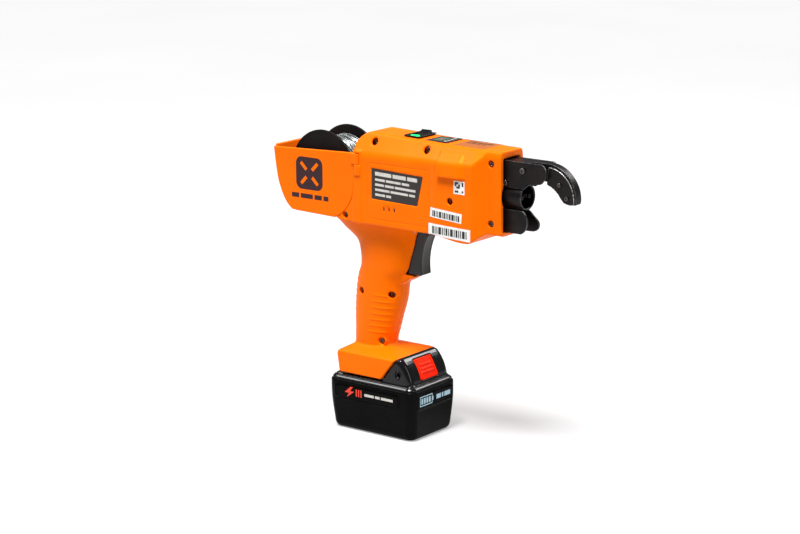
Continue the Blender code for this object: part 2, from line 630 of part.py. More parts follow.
def make_jaw():
    body = [(0.1320, 0.2608), (0.1320, 0.2868), (0.1700, 0.2864), (0.1700, 0.2700)]
    body += [(0.1640, 0.2660), (0.1600, 0.2608)]
    jaw = piece("jaw_block", prism(body, -0.0086, 0.0086), BLACK_STEEL)
    cut(jaw, "tube_saddle", rod(TUBE_RADIUS + GAP, (0, TWIST_Z), 0.1200, 0.1800, "X", 32))
    cut(jaw, "wire_channel", rod(0.0015, (0, WIRE_Z), 0.1200, 0.1800, "X", 8))
    cut(jaw, "cutter_slot", block((0.1497, -0.0070, 0.2662), (0.1539, 0.0200, 0.2850)))
    join(jaw, "cutter_pin", rod(0.0012, CUTTER_PIVOT, 0.1480, 0.1560, "X", 10))
    plate = [(0.1316, 0.2613), (0.1316, 0.2872), (0.1852, 0.2868), (0.1902, 0.2818)]
    plate += [(0.1903, 0.2748), (0.1851, 0.2685), (0.1748, 0.2671), (0.1647, 0.2613)]
    for name, side in (("right", -1), ("left", 1)):
        low, high = sorted((side * PLATE_INNER, side * PLATE_OUTER))
        guide = piece(f"guide_plate_{name}", prism(plate, low, high), BLACK_STEEL)
        if side < 0:
            cut_screw_holes(guide, JAW_SCREWS[:2])
    cut_screw_holes(jaw, JAW_SCREWS[:2])
    make_curl()
    make_cutter()
    for name, x, z, outer, tip, head in JAW_SCREWS:
        near = -outer - GAP
        profile = [(0, near - 0.0016), (head, near - 0.0016), (head, near), (SCREW_SHANK, near)]
        profile += [(SCREW_SHANK, -tip), (0, -tip)]
        piece(name, turned(profile, (x, z), "Y", 10), BLACK_STEEL, smooth=True)


def cut_screw_holes(obj, screws):
    holes = [rod(SCREW_SHANK + GAP, (x, z), -0.0300, -tip + 0.0004, steps=10) for _, x, z, _, tip, _ in screws]
    cut(obj, f"{obj.name}_screw_holes", merged(*holes))


def make_curl():
    outer = arc_through((0.1860, 0.2871), (0.2100, 0.2775), (0.2186, 0.2520), 10)
    arm = [(0.1703, 0.2702), (0.1703, 0.2870), *outer, *CURL_INNER, (0.1874, 0.2702)]
    curl = piece("curl_arm", prism(arm, -CURL_ARM_HALF, CURL_ARM_HALF), BLACK_STEEL)
    cut_screw_holes(curl, JAW_SCREWS[2:])
    rim = arc_through((0.1900, 0.2845), (0.2092, 0.2762), (0.2178, 0.2522), 9)
    cheek = [*rim, *CURL_INNER, (0.1879, 0.2740)]
    for name, side in (("right", -1), ("left", 1)):
        low, high = sorted((side * (CURL_ARM_HALF + GAP), side * CURL_PLATE_OUTER))
        plate = piece(f"curl_plate_{name}", prism(cheek, low, high), BLACK_STEEL)
        if side < 0:
            cut_screw_holes(plate, JAW_SCREWS[2:])


def make_cutter():
    pivot = make_pivot("cutter_axis", (0.1518, *CUTTER_PIVOT))
    lever = [(0.0022, 0.2680), (0.0078, 0.2680), (0.0080, 0.2800), (0.0060, 0.2832), (0.0024, 0.2832)]
    cutter = piece("cutter_lever", prism(lever, 0.1500, 0.1536, "X"), BRIGHT_STEEL, pivot)
    cut(cutter, "cutter_bore", rod(0.0015, CUTTER_PIVOT, 0.1400, 0.1600, "X", 10))


def make_lower_guides():
    front = arc_through((0.1630, 0.2405), (0.1680, 0.2300), (0.1610, 0.2180), 8)
    near = [(0.1400, 0.2180), (0.1384, 0.2192), (0.1316, 0.2194), (0.1316, 0.2405), *front]
    piece("lower_guide_right", prism(near, -0.0095, -0.0073), BLACK_STEEL)
    fan = arc_through((0.1610, 0.2355), (0.1690, 0.2305), (0.1700, 0.2240), 4)
    fan += arc_through((0.1690, 0.2210), (0.1660, 0.2188), (0.1620, 0.2182), 3)
    far = [(0.1400, 0.2180), (0.1384, 0.2192), (0.1316, 0.2194), (0.1316, 0.2405), (0.1540, 0.2400), *fan]
    piece("lower_guide_left", prism(far, 0.0073, 0.0095), BLACK_STEEL)


# ---------------------------------------------------------------- trigger and controls
def make_trigger():
    pivot = make_pivot("trigger_axis", TRIGGER_PIVOT)
    front = arc_through((0.0478, 0.2010), (0.0415, 0.1800), (0.0416, 0.1618), 8)
    outline = [(0.0310, 0.2088), (0.0470, 0.2088), *front, (0.0260, 0.1612), (0.0262, 0.1680)]
    outline += [(0.0280, 0.1850), (0.0310, 0.2000)]
    trigger = piece("trigger", prism(outline, -TRIGGER_HALF, TRIGGER_HALF), MATTE_BLACK, pivot)
    axis = (TRIGGER_PIVOT[0], TRIGGER_PIVOT[2])
    cut(trigger, "trigger_bore", rod(0.0018, axis, -0.0200, 0.0200))
    piece("trigger_pin", rod(0.0014, axis, -0.0115, 0.0115), BRIGHT_STEEL, smooth=True)
    switch = piece("trigger_switch", block((0.0030, -0.0065, 0.1720), (0.0155, 0.0065, 0.1930)), MATTE_BLACK)
    join(switch, "switch_plunger", rod(0.0020, (0, 0.1850), 0.0150, 0.0236, "X", 10))
    spring = helix(0.0021, 0.0004, 4, (0.0165, 0.0, 0.1660), 0.0085)
    piece("trigger_spring", spring, BRIGHT_STEEL, smooth=True)


def helix(radius, wire, turns, start, length, sides=5, per_turn=10):
    """A compression spring along +X as one closed tube."""
    count = turns * per_turn
    rings = []
    for i in range(count + 1):
        angle = 2 * math.pi * i / per_turn
        out = Vector((0, math.cos(angle), math.sin(angle)))
        middle = Vector(start) + out * radius + Vector((length * i / count, 0, 0))
        loop = []
        for k in range(sides):
            around = 2 * math.pi * k / sides
            loop.append(middle + out * (wire * math.cos(around)) + Vector((wire * math.sin(around), 0, 0)))
        rings.append([tuple(point) for point in loop])
    return loft(rings)


def make_power_switch():
    low_x, high_x = SWITCH_X - 0.0093, SWITCH_X + 0.0093
    bezel = piece("switch_bezel", block((low_x, -0.0146, 0.2986), (high_x, 0.0146, 0.3003)), MATTE_BLACK)
    join(bezel, "switch_cup", block((SWITCH_X - 0.0078, -0.0131, 0.2830), (SWITCH_X + 0.0078, 0.0131, 0.2990)))
    cut(bezel, "rocker_room", block((SWITCH_X - 0.0066, -0.0121, 0.2845), (SWITCH_X + 0.0066, 0.0121, 0.3100)))
    pivot = make_pivot("rocker_axis", (SWITCH_X, 0, ROCKER_PIVOT_Z))
    upright = [(-0.0112, 0.0046), (0, 0.0028), (0.0112, 0.0046), (0.0106, -0.0010), (0.0040, -0.0075)]
    upright += [(-0.0040, -0.0075), (-0.0106, -0.0010)]
    c, s = math.cos(ROCKER_TILT), math.sin(ROCKER_TILT)
    tilted = [(y * c - z * s, ROCKER_PIVOT_Z + y * s + z * c) for y, z in upright]
    rocker = prism(tilted, SWITCH_X - 0.0063, SWITCH_X + 0.0063, "X")
    piece("power_rocker", rocker, GLOSS_BLACK, pivot)
    piece("mode_panel", block((0.0530, -0.0130, 0.2962), (0.0780, 0.0130, 0.2972)), PANEL_GREY)


def make_control_board():
    board = piece("control_board", block((-0.0180, -0.0190, 0.2134), (0.0660, 0.0190, 0.2150)), BOARD_GREEN)
    parts = [block((x, y, 0.2146), (x + 0.0090, y + 0.0080, top))
             for x, y, top in ((-0.0120, -0.0130, 0.2200), (0.0080, 0.0020, 0.2230), (0.0300, -0.0100, 0.2190))]
    join(board, "board_components", merged(*parts))


def make_terminal_block():
    block_piece = piece("terminal_block", block((-0.0382, -0.0140, 0.0690), (-0.0310, 0.0140, 0.0766)), MATTE_BLACK)
    blades = [block((-0.0320, y - 0.0004, 0.0705), (-0.0220, y + 0.0004, 0.0750)) for y in (-0.0090, 0, 0.0090)]
    join(block_piece, "terminal_blades", merged(*blades))


# ---------------------------------------------------------------- battery
# Each case station: z, half length, half width, corner radius
CASE = (
    (0.0000, 0.0435, 0.0285, 0.0060),
    (0.0015, 0.0463, 0.0312, 0.0080),
    (0.0060, 0.0482, 0.0330, 0.0090),
    (0.0410, 0.0500, 0.0345, 0.0095),
    (BATTERY_SPLIT_Z, 0.0497, 0.0343, 0.0095),
)
COVER = (
    (BATTERY_SPLIT_Z + GAP, 0.0490, 0.0337, 0.0095),
    (0.0540, 0.0488, 0.0335, 0.0095),
    (0.0556, 0.0474, 0.0322, 0.0090),
    (0.0576, 0.0465, 0.0315, 0.0085),
)


def case_ring(z, half_x, half_y, corner):
    return [(x, y, z) for x, y in rectangle(-half_x, half_x, -half_y, half_y, corner)]


def make_battery():
    pivot = make_pivot("battery_axis", (0, 0, 0.0288))
    case = piece("battery_case", loft([case_ring(*station) for station in CASE]), MATTE_BLACK, pivot)
    inner = [(z, a - WALL, b - WALL, r) for z, a, b, r in ((0.0030, 0.0465, 0.0315, 0.0060), *CASE[2:])]
    inner += [(BATTERY_SPLIT_Z + 0.0050, 0.0471, 0.0317, 0.0095)]
    cut(case, "case_hollow", loft([case_ring(*station) for station in inner]))

    cover = piece("battery_cover", loft([case_ring(*station) for station in COVER]), GLOSS_BLACK, pivot)
    tower = block((-0.0304, -TOWER_BAY_HALF + 0.0005, 0.0562), (0.0300, TOWER_BAY_HALF - 0.0005, 0.0764))
    join(cover, "tower_core", tower)
    join(cover, "tower_rails", block((-0.0300, -0.0299, 0.0641), (0.0200, 0.0299, 0.0679)))
    slope = arc_through((0.0330, 0.0810), (0.0410, 0.0705), (0.0462, 0.0550), 6)
    front = [(0.0108, 0.0556), (0.0290, 0.0794), *slope]
    join(cover, "tower_front", prism(front, -0.0312, 0.0312))
    cut(cover, "cover_hollow", block((-0.0270, -0.0245, 0.0400), (0.0210, 0.0245, 0.0735)))
    slots = [block((-0.0400, y - 0.0012, 0.0695), (-0.0210, y + 0.0012, 0.0800)) for y in (-0.0090, 0, 0.0090)]
    cut(cover, "terminal_slots", merged(*slots))
    make_release(cover, pivot)
    use_manifold(cover)

    for i, y in enumerate((-CELL_PITCH, 0, CELL_PITCH)):
        cell = turned([(0, -CELL_LENGTH / 2), (CELL_RADIUS, -CELL_LENGTH / 2), (CELL_RADIUS, CELL_LENGTH / 2),
                       (0.0030, CELL_LENGTH / 2), (0.0030, CELL_LENGTH / 2 + 0.0010),
                       (0, CELL_LENGTH / 2 + 0.0010)], (y, 0.0128), "X", 16)
        piece(f"cell_{i + 1}", cell, CELL_BLUE, pivot, smooth=True)
    piece("protection_board", block((-0.0300, -0.0220, 0.0440), (0.0300, 0.0220, 0.0456)), BOARD_GREEN, pivot)


# The release button slides into the tower's sloped front, at right angles to it.
RELEASE_TOP = Vector((0.0362, 0.0772))
RELEASE_BOTTOM = Vector((0.0464, 0.0580))
RELEASE_IN = Vector((-0.0192, -0.0102)).normalized()


def release_outline(margin, proud, depth):
    """Side view of the button, or of its pocket when margin is more than nothing."""
    down = (RELEASE_BOTTOM - RELEASE_TOP).normalized()
    top, bottom = RELEASE_TOP - down * margin, RELEASE_BOTTOM + down * margin
    outer_top, outer_bottom = top - RELEASE_IN * proud, bottom - RELEASE_IN * proud
    return [tuple(p) for p in (outer_top, outer_bottom, bottom + RELEASE_IN * depth, top + RELEASE_IN * depth)]


def make_release(cover, battery_pivot):
    pocket = prism(release_outline(0.0004, 0.0100, 0.0085), -RELEASE_HALF - 0.0004, RELEASE_HALF + 0.0004)
    cut(cover, "release_pocket", pocket)
    middle = (RELEASE_TOP + RELEASE_BOTTOM) / 2
    pivot = make_pivot("release_axis", (middle.x, 0, middle.y), battery_pivot)
    button = prism(release_outline(0, 0.0012, 0.0035), -RELEASE_HALF, RELEASE_HALF)
    piece("release_button", button, RED, pivot)
    start = middle + RELEASE_IN * 0.0042
    spring = helix(0.0028, 0.0004, 3, (0, 0, 0), 0.0034)
    turn = Matrix.Rotation(-math.atan2(RELEASE_IN.y, RELEASE_IN.x), 3, "Y")
    bmesh.ops.rotate(spring, verts=spring.verts, cent=(0, 0, 0), matrix=turn)
    bmesh.ops.translate(spring, verts=spring.verts, vec=(start.x, 0, start.y))
    piece("release_spring", spring, BRIGHT_STEEL, battery_pivot, smooth=True)


def main():
    clear_scene()
    make_housing()
    make_screws()
    make_door()
    make_reel()
    make_tie_wire()
    make_feed()
    make_twist_drive()
    make_jaw()
    make_lower_guides()
    make_trigger()
    make_power_switch()
    make_control_board()
    make_terminal_block()
    make_battery()


main()
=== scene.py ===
"""The looks of the cordless rebar tying tool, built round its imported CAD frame.

Shapes are worked out in millimetres in the frame's own axes (+X to the jaw, +Y to the tool's
left, +Z up) and turned into metres when a mesh is made. A field is a function of x, y and z that
is negative inside a shape, as a signed distance is.
"""

import json
import math

import bmesh
import bpy
import numpy as np
from mathutils import Matrix, Vector

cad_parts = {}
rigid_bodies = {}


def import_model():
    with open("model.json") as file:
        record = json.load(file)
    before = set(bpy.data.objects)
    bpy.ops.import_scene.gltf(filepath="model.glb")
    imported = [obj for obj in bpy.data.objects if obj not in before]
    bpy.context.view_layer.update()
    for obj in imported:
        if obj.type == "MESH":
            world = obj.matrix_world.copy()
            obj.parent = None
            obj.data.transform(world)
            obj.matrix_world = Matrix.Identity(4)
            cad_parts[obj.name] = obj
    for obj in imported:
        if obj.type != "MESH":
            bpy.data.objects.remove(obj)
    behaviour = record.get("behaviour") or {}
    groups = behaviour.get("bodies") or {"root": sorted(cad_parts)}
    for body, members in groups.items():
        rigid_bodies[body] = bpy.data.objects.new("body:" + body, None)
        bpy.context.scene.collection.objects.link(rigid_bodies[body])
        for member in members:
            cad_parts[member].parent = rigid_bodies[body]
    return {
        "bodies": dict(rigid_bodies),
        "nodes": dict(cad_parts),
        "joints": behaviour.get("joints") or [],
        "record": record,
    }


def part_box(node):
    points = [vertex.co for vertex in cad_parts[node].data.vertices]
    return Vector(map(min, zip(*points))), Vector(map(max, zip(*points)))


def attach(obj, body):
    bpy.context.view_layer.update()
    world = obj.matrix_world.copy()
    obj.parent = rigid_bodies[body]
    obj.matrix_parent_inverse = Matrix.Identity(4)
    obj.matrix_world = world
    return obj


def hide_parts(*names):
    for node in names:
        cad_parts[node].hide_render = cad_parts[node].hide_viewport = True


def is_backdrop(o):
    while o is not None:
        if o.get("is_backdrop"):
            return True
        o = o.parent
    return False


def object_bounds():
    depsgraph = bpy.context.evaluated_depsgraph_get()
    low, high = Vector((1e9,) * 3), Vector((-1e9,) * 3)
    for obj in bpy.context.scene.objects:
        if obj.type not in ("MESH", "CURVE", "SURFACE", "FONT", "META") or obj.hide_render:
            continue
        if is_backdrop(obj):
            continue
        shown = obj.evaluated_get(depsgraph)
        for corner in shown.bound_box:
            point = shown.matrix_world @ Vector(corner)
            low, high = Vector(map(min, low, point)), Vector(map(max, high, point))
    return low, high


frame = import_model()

cad_box = [list(corner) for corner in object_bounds()]
MM = 0.001
GAP = 0.3  # between neighbouring pieces
WALL = 2.6  # the housing's
FINE = 0.68  # grid step of the housing

# Places that the frame gives
REEL = ((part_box("wire_reel")[0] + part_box("wire_reel")[1]) / 2) / MM
REEL_RADIUS = (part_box("wire_reel")[1].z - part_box("wire_reel")[0].z) / 2 / MM
TWIST_Z = ((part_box("twister_tube")[0].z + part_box("twister_tube")[1].z) / 2) / MM

# Places that several pieces share
HALF = 30.0  # half width of the body
NOSE_HALF = 18.6
NOSE_FRONT = 144.6
DOOR_FRONT = -21.6
HINGE = (-17.5, -29.2)  # x and y of the door's pin
SWITCH_X = 37.35
LEDS = [(14.2 + 6.4 * k, 15.8 + 6.4 * k) for k in range(3)]  # x of each lamp's slot
LED_DEPTH, LABEL_DEPTH = 0.9, 0.7  # how deep the slots and the rating plate lie in the side


# ---- numbers
def clamp(value, low=0.0, high=1.0):
    return np.minimum(np.maximum(value, low), high)


def ease(value, low, high):
    t = clamp((value - low) / (high - low))
    return t * t * (3 - 2 * t)


def both(a, b, r=0.5):
    """What is inside a and b, with the edge between them rounded over about r."""
    h = np.maximum(r - np.abs(a - b), 0) / r
    return np.maximum(a, b) + h * h * r * 0.25


def either(a, b, r=0.5):
    """What is inside a or b, with a fillet of about r between them."""
    return -both(-a, -b, r)


def without(a, b, r=0.5):
    return both(a, -b, r)


def blur_table(table, column, value):
    """A smooth curve through one column of a table of stations, read at value."""
    steps = 8
    xs = np.array([row[0] for row in table])
    ys = np.array([row[column] for row in table])
    fine_x, fine_y = [xs[0]], [ys[0]]
    for i in range(len(xs) - 1):
        before, after = max(i - 1, 0), min(i + 2, len(xs) - 1)
        slope_a = (ys[i + 1] - ys[before]) / (xs[i + 1] - xs[before])
        slope_b = (ys[after] - ys[i]) / (xs[after] - xs[i])
        width = xs[i + 1] - xs[i]
        for k in range(1, steps + 1):
            t = k / steps
            a, b = 2 * t**3 - 3 * t**2 + 1, t**3 - 2 * t**2 + t
            c, d = -2 * t**3 + 3 * t**2, t**3 - t**2
            fine_x.append(xs[i] + width * t)
            fine_y.append(a * ys[i] + b * width * slope_a + c * ys[i + 1] + d * width * slope_b)
    return np.interp(value, fine_x, fine_y)


# ---- outlines
def arc(centre, radius, start, end, steps):
    angles = [math.radians(start + (end - start) * i / steps) for i in range(steps + 1)]
    return [(centre[0] + radius * math.cos(a), centre[1] + radius * math.sin(a)) for a in angles]


def arc_through(a, b, c, steps):
    """Points on the circle through a, b and c, from a to c."""
    (ax, ay), (bx, by), (cx, cy) = a, b, c
    d = 2 * (ax * (by - cy) + bx * (cy - ay) + cx * (ay - by))
    a2, b2, c2 = ax * ax + ay * ay, bx * bx + by * by, cx * cx + cy * cy
    ux = (a2 * (by - cy) + b2 * (cy - ay) + c2 * (ay - by)) / d
    uy = (a2 * (cx - bx) + b2 * (ax - cx) + c2 * (bx - ax)) / d
    start, middle, end = (math.degrees(math.atan2(y - uy, x - ux)) for x, y in (a, b, c))
    sweep = (end - start) % 360
    if (middle - start) % 360 > sweep:
        sweep -= 360
    return arc((ux, uy), math.hypot(ax - ux, ay - uy), start, start + sweep, steps)


def smooth_line(points, steps=6):
    """A Catmull-Rom curve through points."""
    line = [points[0]]
    for i in range(len(points) - 1):
        p0, p1 = points[max(i - 1, 0)], points[i]
        p2, p3 = points[i + 1], points[min(i + 2, len(points) - 1)]
        for k in range(1, steps + 1):
            t = k / steps
            line.append(tuple(
                0.5 * (2 * b + (c - a) * t + (2 * a - 5 * b + 4 * c - d) * t * t
                       + (3 * b - a - 3 * c + d) * t**3)
                for a, b, c, d in zip(p0, p1, p2, p3)))
    return line


def quad(left, right, low, high):
    return [(left, low), (right, low), (right, high), (left, high)]


def rounded_box(low_a, high_a, low_b, high_b, radius, steps):
    corners = ((high_a - radius, high_b - radius, 0), (low_a + radius, high_b - radius, 90),
               (low_a + radius, low_b + radius, 180), (high_a - radius, low_b + radius, 270))
    return [p for a, b, turn in corners for p in arc((a, b), radius, turn, turn + 90, steps)]


# ---- fields
def outline_field(points):
    """Signed distance to a closed outline in two coordinates."""
    def field(u, v):
        nearest = np.full(np.shape(u), 1e9)
        inside = np.zeros(np.shape(u), bool)
        for (ax, ay), (bx, by) in zip(points, points[1:] + points[:1]):
            ex, ey = bx - ax, by - ay
            t = clamp(((u - ax) * ex + (v - ay) * ey) / max(ex * ex + ey * ey, 1e-9))
            nearest = np.minimum(nearest, (u - ax - ex * t) ** 2 + (v - ay - ey * t) ** 2)
            if ay != by:
                inside ^= ((ay <= v) != (by <= v)) & (u < ax + (v - ay) * ex / ey)
        return np.where(inside, -1, 1) * np.sqrt(nearest)
    return field


def slab(value, low, high):
    return np.maximum(low - value, value - high)


def box_field(x, y, z, low, high, r=0.5):
    sides = both(slab(x, low[0], high[0]), slab(y, low[1], high[1]), r)
    return both(sides, slab(z, low[2], high[2]), r)


def rod_y(x, y, z, cx, cz, radius, low, high, r=0.4):
    return both(np.hypot(x - cx, z - cz) - radius, slab(y, low, high), r)


# ---- meshes
def upsample(coarse, factor, shape):
    """Linear interpolation of a coarse grid at every fine grid point."""
    for axis, count in enumerate(shape):
        place = np.arange(count) / factor
        low = np.minimum(place.astype(int), coarse.shape[axis] - 2)
        share = (place - low).reshape([-1 if k == axis else 1 for k in range(3)])
        coarse = np.take(coarse, low, axis) * (1 - share) + np.take(coarse, low + 1, axis) * share
    return coarse


def surface_points(field, low, high, step, factor=3):
    """Vertices and four-sided faces of the surface where field is nothing (surface nets)."""
    counts = [int(math.ceil((b - a) / step / factor)) * factor + 1 for a, b in zip(low, high)]
    axes = [a + step * np.arange(n) for a, n in zip(low, counts)]
    coarse_axes = [axis[::factor] for axis in axes]
    coarse = field(*np.meshgrid(*coarse_axes, indexing="ij"))
    values = upsample(coarse, factor, counts)
    near = np.abs(values) < 2 * step * factor
    where = np.nonzero(near)
    values[near] = field(*(axis[i] for axis, i in zip(axes, where)))

    inside = values < 0
    strides = (counts[1] * counts[2], counts[2], 1)
    cell_ids, cell_points, quads = [], [], []
    for axis in range(3):
        b, c = (axis + 1) % 3, (axis + 2) % 3
        head = [slice(None)] * 3
        tail = [slice(None)] * 3
        head[axis], tail[axis] = slice(0, -1), slice(1, None)
        change = inside[tuple(head)] != inside[tuple(tail)]
        for other in (b, c):
            edge = [slice(None)] * 3
            edge[other] = 0
            change[tuple(edge)] = False
            edge[other] = -1
            change[tuple(edge)] = False
        index = np.array(np.nonzero(change))
        other_end = index.copy()
        other_end[axis] += 1
        va, vb = values[tuple(index)], values[tuple(other_end)]
        point = np.array([axes[k][index[k]] for k in range(3)])
        point[axis] += step * va / (va - vb)
        base = sum(index[k] * strides[k] for k in range(3))
        corners = [base - strides[b] - strides[c], base - strides[c], base, base - strides[b]]
        for corner in corners:
            cell_ids.append(corner)
            cell_points.append(point)
        quad = np.array(corners).T
        flip = va < 0
        quad[~flip] = quad[~flip][:, ::-1]
        quads.append(quad)
    ids, places = np.concatenate(cell_ids), np.concatenate(cell_points, axis=1)
    unique, inverse, count = np.unique(ids, return_inverse=True, return_counts=True)
    points = [np.bincount(inverse, places[k], len(unique)) / count for k in range(3)]
    faces = np.searchsorted(unique, np.concatenate(quads))
    for _ in range(2):
        points = settle(field, points, step)
    return np.array(points).T, faces


def settle(field, points, step):
    """Moves points onto the surface along its slope."""
    reach, least_slope, longest = 0.12, 0.05, 0.4 * step
    here = field(*points)
    slope = []
    for axis in range(3):
        ahead = list(points)
        ahead[axis] = points[axis] + reach
        behind = list(points)
        behind[axis] = points[axis] - reach
        slope.append((field(*ahead) - field(*behind)) / (2 * reach))
    size = np.maximum(sum(s * s for s in slope), least_slope)
    move = [np.clip(-here * s / size, -longest, longest) for s in slope]
    return [p + m for p, m in zip(points, move)]


def link(name, mesh):
    obj = bpy.data.objects.new(name, mesh)
    bpy.context.scene.collection.objects.link(obj)
    return obj


def from_field(name, field, low, high, step, thin=None):
    """An object whose surface is where field is nothing. thin is the share of faces to keep."""
    points, faces = surface_points(field, low, high, step)
    mesh = bpy.data.meshes.new(name)
    mesh.from_pydata((points * MM).tolist(), [], faces.tolist())
    mesh.validate()
    mesh.shade_smooth()
    obj = link(name, mesh)
    if thin:
        reduce = obj.modifiers.new("thin", "DECIMATE")
        reduce.ratio = thin
        apply_modifiers(obj)
        obj.data.shade_smooth()
    return obj


def apply_modifiers(obj):
    bpy.context.view_layer.update()
    evaluated = obj.evaluated_get(bpy.context.evaluated_depsgraph_get())
    mesh = bpy.data.meshes.new_from_object(evaluated)
    obj.modifiers.clear()
    obj.data = mesh


def at(axis, a, b, along):
    return (along, a, b) if axis == "X" else (a, along, b)


def loft(rings, closed=False):
    """A bmesh through rings of equally many points, capped unless its two ends meet."""
    bm = bmesh.new()
    loops = [[bm.verts.new(Vector(point) * MM) for point in ring] for ring in rings]
    pairs = list(zip(loops, loops[1:]))
    if closed:
        pairs.append((loops[-1], loops[0]))
    for near, far in pairs:
        for i in range(len(near)):
            bm.faces.new((near[i - 1], near[i], far[i], far[i - 1]))
    if not closed:
        bm.faces.new(loops[0])
        bm.faces.new(loops[-1])
    return bm


def prism(outline, low, high):
    """A slab with this side view, from y = low to y = high."""
    return loft([[at("Y", a, b, along) for a, b in outline] for along in (low, high)])


def turned(profile, centre, axis, steps=64):
    """A ring turned from a closed profile of (radius, place along the axis) points."""
    rings = []
    for k in range(steps):
        c, s = math.cos(2 * math.pi * k / steps), math.sin(2 * math.pi * k / steps)
        rings.append([at(axis, centre[0] + r * c, centre[1] + r * s, along)
                      for r, along in profile])
    return loft(rings, closed=True)


def joined(*shapes):
    whole = shapes[0]
    for shape in shapes[1:]:
        mesh = bpy.data.meshes.new("joined")
        shape.to_mesh(mesh)
        whole.from_mesh(mesh)
        shape.free()
        bpy.data.meshes.remove(mesh)
    return whole


def shaped(name, bm, bevel=0.0, segments=3, worn=False, angle=32):
    """An object from a bmesh. bevel rounds its sharp edges, and worn gives those a material."""
    bmesh.ops.recalc_face_normals(bm, faces=bm.faces)
    mesh = bpy.data.meshes.new(name)
    bm.to_mesh(mesh)
    bm.free()
    mesh.shade_smooth()
    obj = link(name, mesh)
    if bevel:
        rounding = obj.modifiers.new("rounding", "BEVEL")
        rounding.width = bevel * MM
        rounding.segments = segments
        rounding.limit_method = "ANGLE"
        rounding.angle_limit = math.radians(angle)
        rounding.material = 1 if worn else -1
        rounding.miter_outer = "MITER_ARC"
        for _ in range(2 if worn else 0):
            mesh.materials.append(None)
    weigh = obj.modifiers.new("weigh", "WEIGHTED_NORMAL")
    weigh.keep_sharp = True
    apply_modifiers(obj)
    return obj


def dress(obj, body, materials, replaces=()):
    """Gives a piece its materials and its place in the frame."""
    places = obj.data.materials
    for index, material in enumerate(materials if isinstance(materials, list) else [materials]):
        if index < len(places):
            places[index] = material
        else:
            places.append(material)
    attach(obj, body)
    if replaces:
        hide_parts(*([replaces] if isinstance(replaces, str) else replaces))
    return obj


# ---- materials
class Nodes:
    """Short names for building one material's node tree."""

    def __init__(self, name):
        self.material = bpy.data.materials.new(name)
        self.material.use_nodes = True
        self.tree = self.material.node_tree
        self.shader = self.tree.nodes["Principled BSDF"]
        self.place = self.add("ShaderNodeTexCoord").outputs["Object"]

    def add(self, kind, **settings):
        node = self.tree.nodes.new(kind)
        for key, value in settings.items():
            setattr(node, key, value)
        return node

    def wire(self, source, target):
        self.tree.links.new(source, target)

    def noise(self, scale, detail=4.0, roughness=0.5, stretch=None, distortion=0.0):
        node = self.add("ShaderNodeTexNoise")
        node.inputs["Scale"].default_value = scale
        node.inputs["Detail"].default_value = detail
        node.inputs["Roughness"].default_value = roughness
        node.inputs["Distortion"].default_value = distortion
        place = self.place
        if stretch:
            mapping = self.add("ShaderNodeMapping")
            mapping.inputs["Scale"].default_value = stretch
            self.wire(place, mapping.inputs["Vector"])
            place = mapping.outputs["Vector"]
        self.wire(place, node.inputs["Vector"])
        return node.outputs["Fac"]

    def ramp(self, source, *stops):
        """A colour ramp. Each stop is (place, colour) with three or one numbers for the colour."""
        node = self.add("ShaderNodeValToRGB")
        elements = node.color_ramp.elements
        while len(elements) < len(stops):
            elements.new(0.5)
        for element, (place, colour) in zip(elements, stops):
            if isinstance(colour, (int, float)):
                colour = (colour, colour, colour)
            element.position = place
            element.color = (*colour, 1)
        self.wire(source, node.inputs["Fac"])
        return node.outputs["Color"]

    def multiply(self, a, b, share):
        """Colour a, darkened by a share of colour b."""
        node = self.add("ShaderNodeMix", data_type="RGBA", blend_type="MULTIPLY")
        node.inputs[0].default_value = share
        self.wire(a, node.inputs[6])
        self.wire(b, node.inputs[7])
        return node.outputs[2]

    def scale_value(self, source, low, high):
        node = self.add("ShaderNodeMapRange")
        node.inputs["To Min"].default_value = low
        node.inputs["To Max"].default_value = high
        self.wire(source, node.inputs["Value"])
        return node.outputs["Result"]

    def bumps(self, *layers):
        """Each layer is (height source, distance in metres, strength)."""
        last = None
        for source, distance, strength in layers:
            node = self.add("ShaderNodeBump")
            node.inputs["Distance"].default_value = distance
            node.inputs["Strength"].default_value = strength
            self.wire(source, node.inputs["Height"])
            if last:
                self.wire(last, node.inputs["Normal"])
            last = node.outputs["Normal"]
        self.wire(last, self.shader.inputs["Normal"])

    def set(self, **values):
        for key, value in values.items():
            self.shader.inputs[key.replace("_", " ")].default_value = value

    def feed(self, socket, source):
        self.wire(source, self.shader.inputs[socket])


def moulded(name, colour, light, dark, roughness=0.42, grain=0.00003, coat=0.0, shine=0.22,
             tint=(1.0, 1.0, 1.0)):
    """Moulded plastic: fine spark-eroded grain, faint cloudy colour and handling marks."""
    n = Nodes(name)
    cloud = n.noise(28, 3, 0.55)
    base = n.ramp(cloud, (0.30, dark), (0.52, colour), (0.75, light))
    specks = n.ramp(n.noise(900, 2, 0.6), (0.36, 0.82), (0.50, 1.0))
    n.feed("Base Color", n.multiply(base, specks, 0.35))
    smear = n.noise(70, 5, 0.6, distortion=0.6)
    n.feed("Roughness", n.scale_value(smear, roughness - 0.12, roughness + 0.14))
    scratch = n.ramp(n.noise(160, 6, 0.7, stretch=(1, 1, 7)),
                     (0.47, 0.0), (0.50, 1.0), (0.53, 0.0))
    n.bumps((n.noise(2600, 3, 0.6), grain, 0.35), (scratch, 0.00002, 0.10), (cloud, 0.0004, 0.10))
    n.set(Specular_IOR_Level=shine, Specular_Tint=(*tint, 1.0),
          Coat_Weight=coat, Coat_Roughness=0.10)
    return n.material


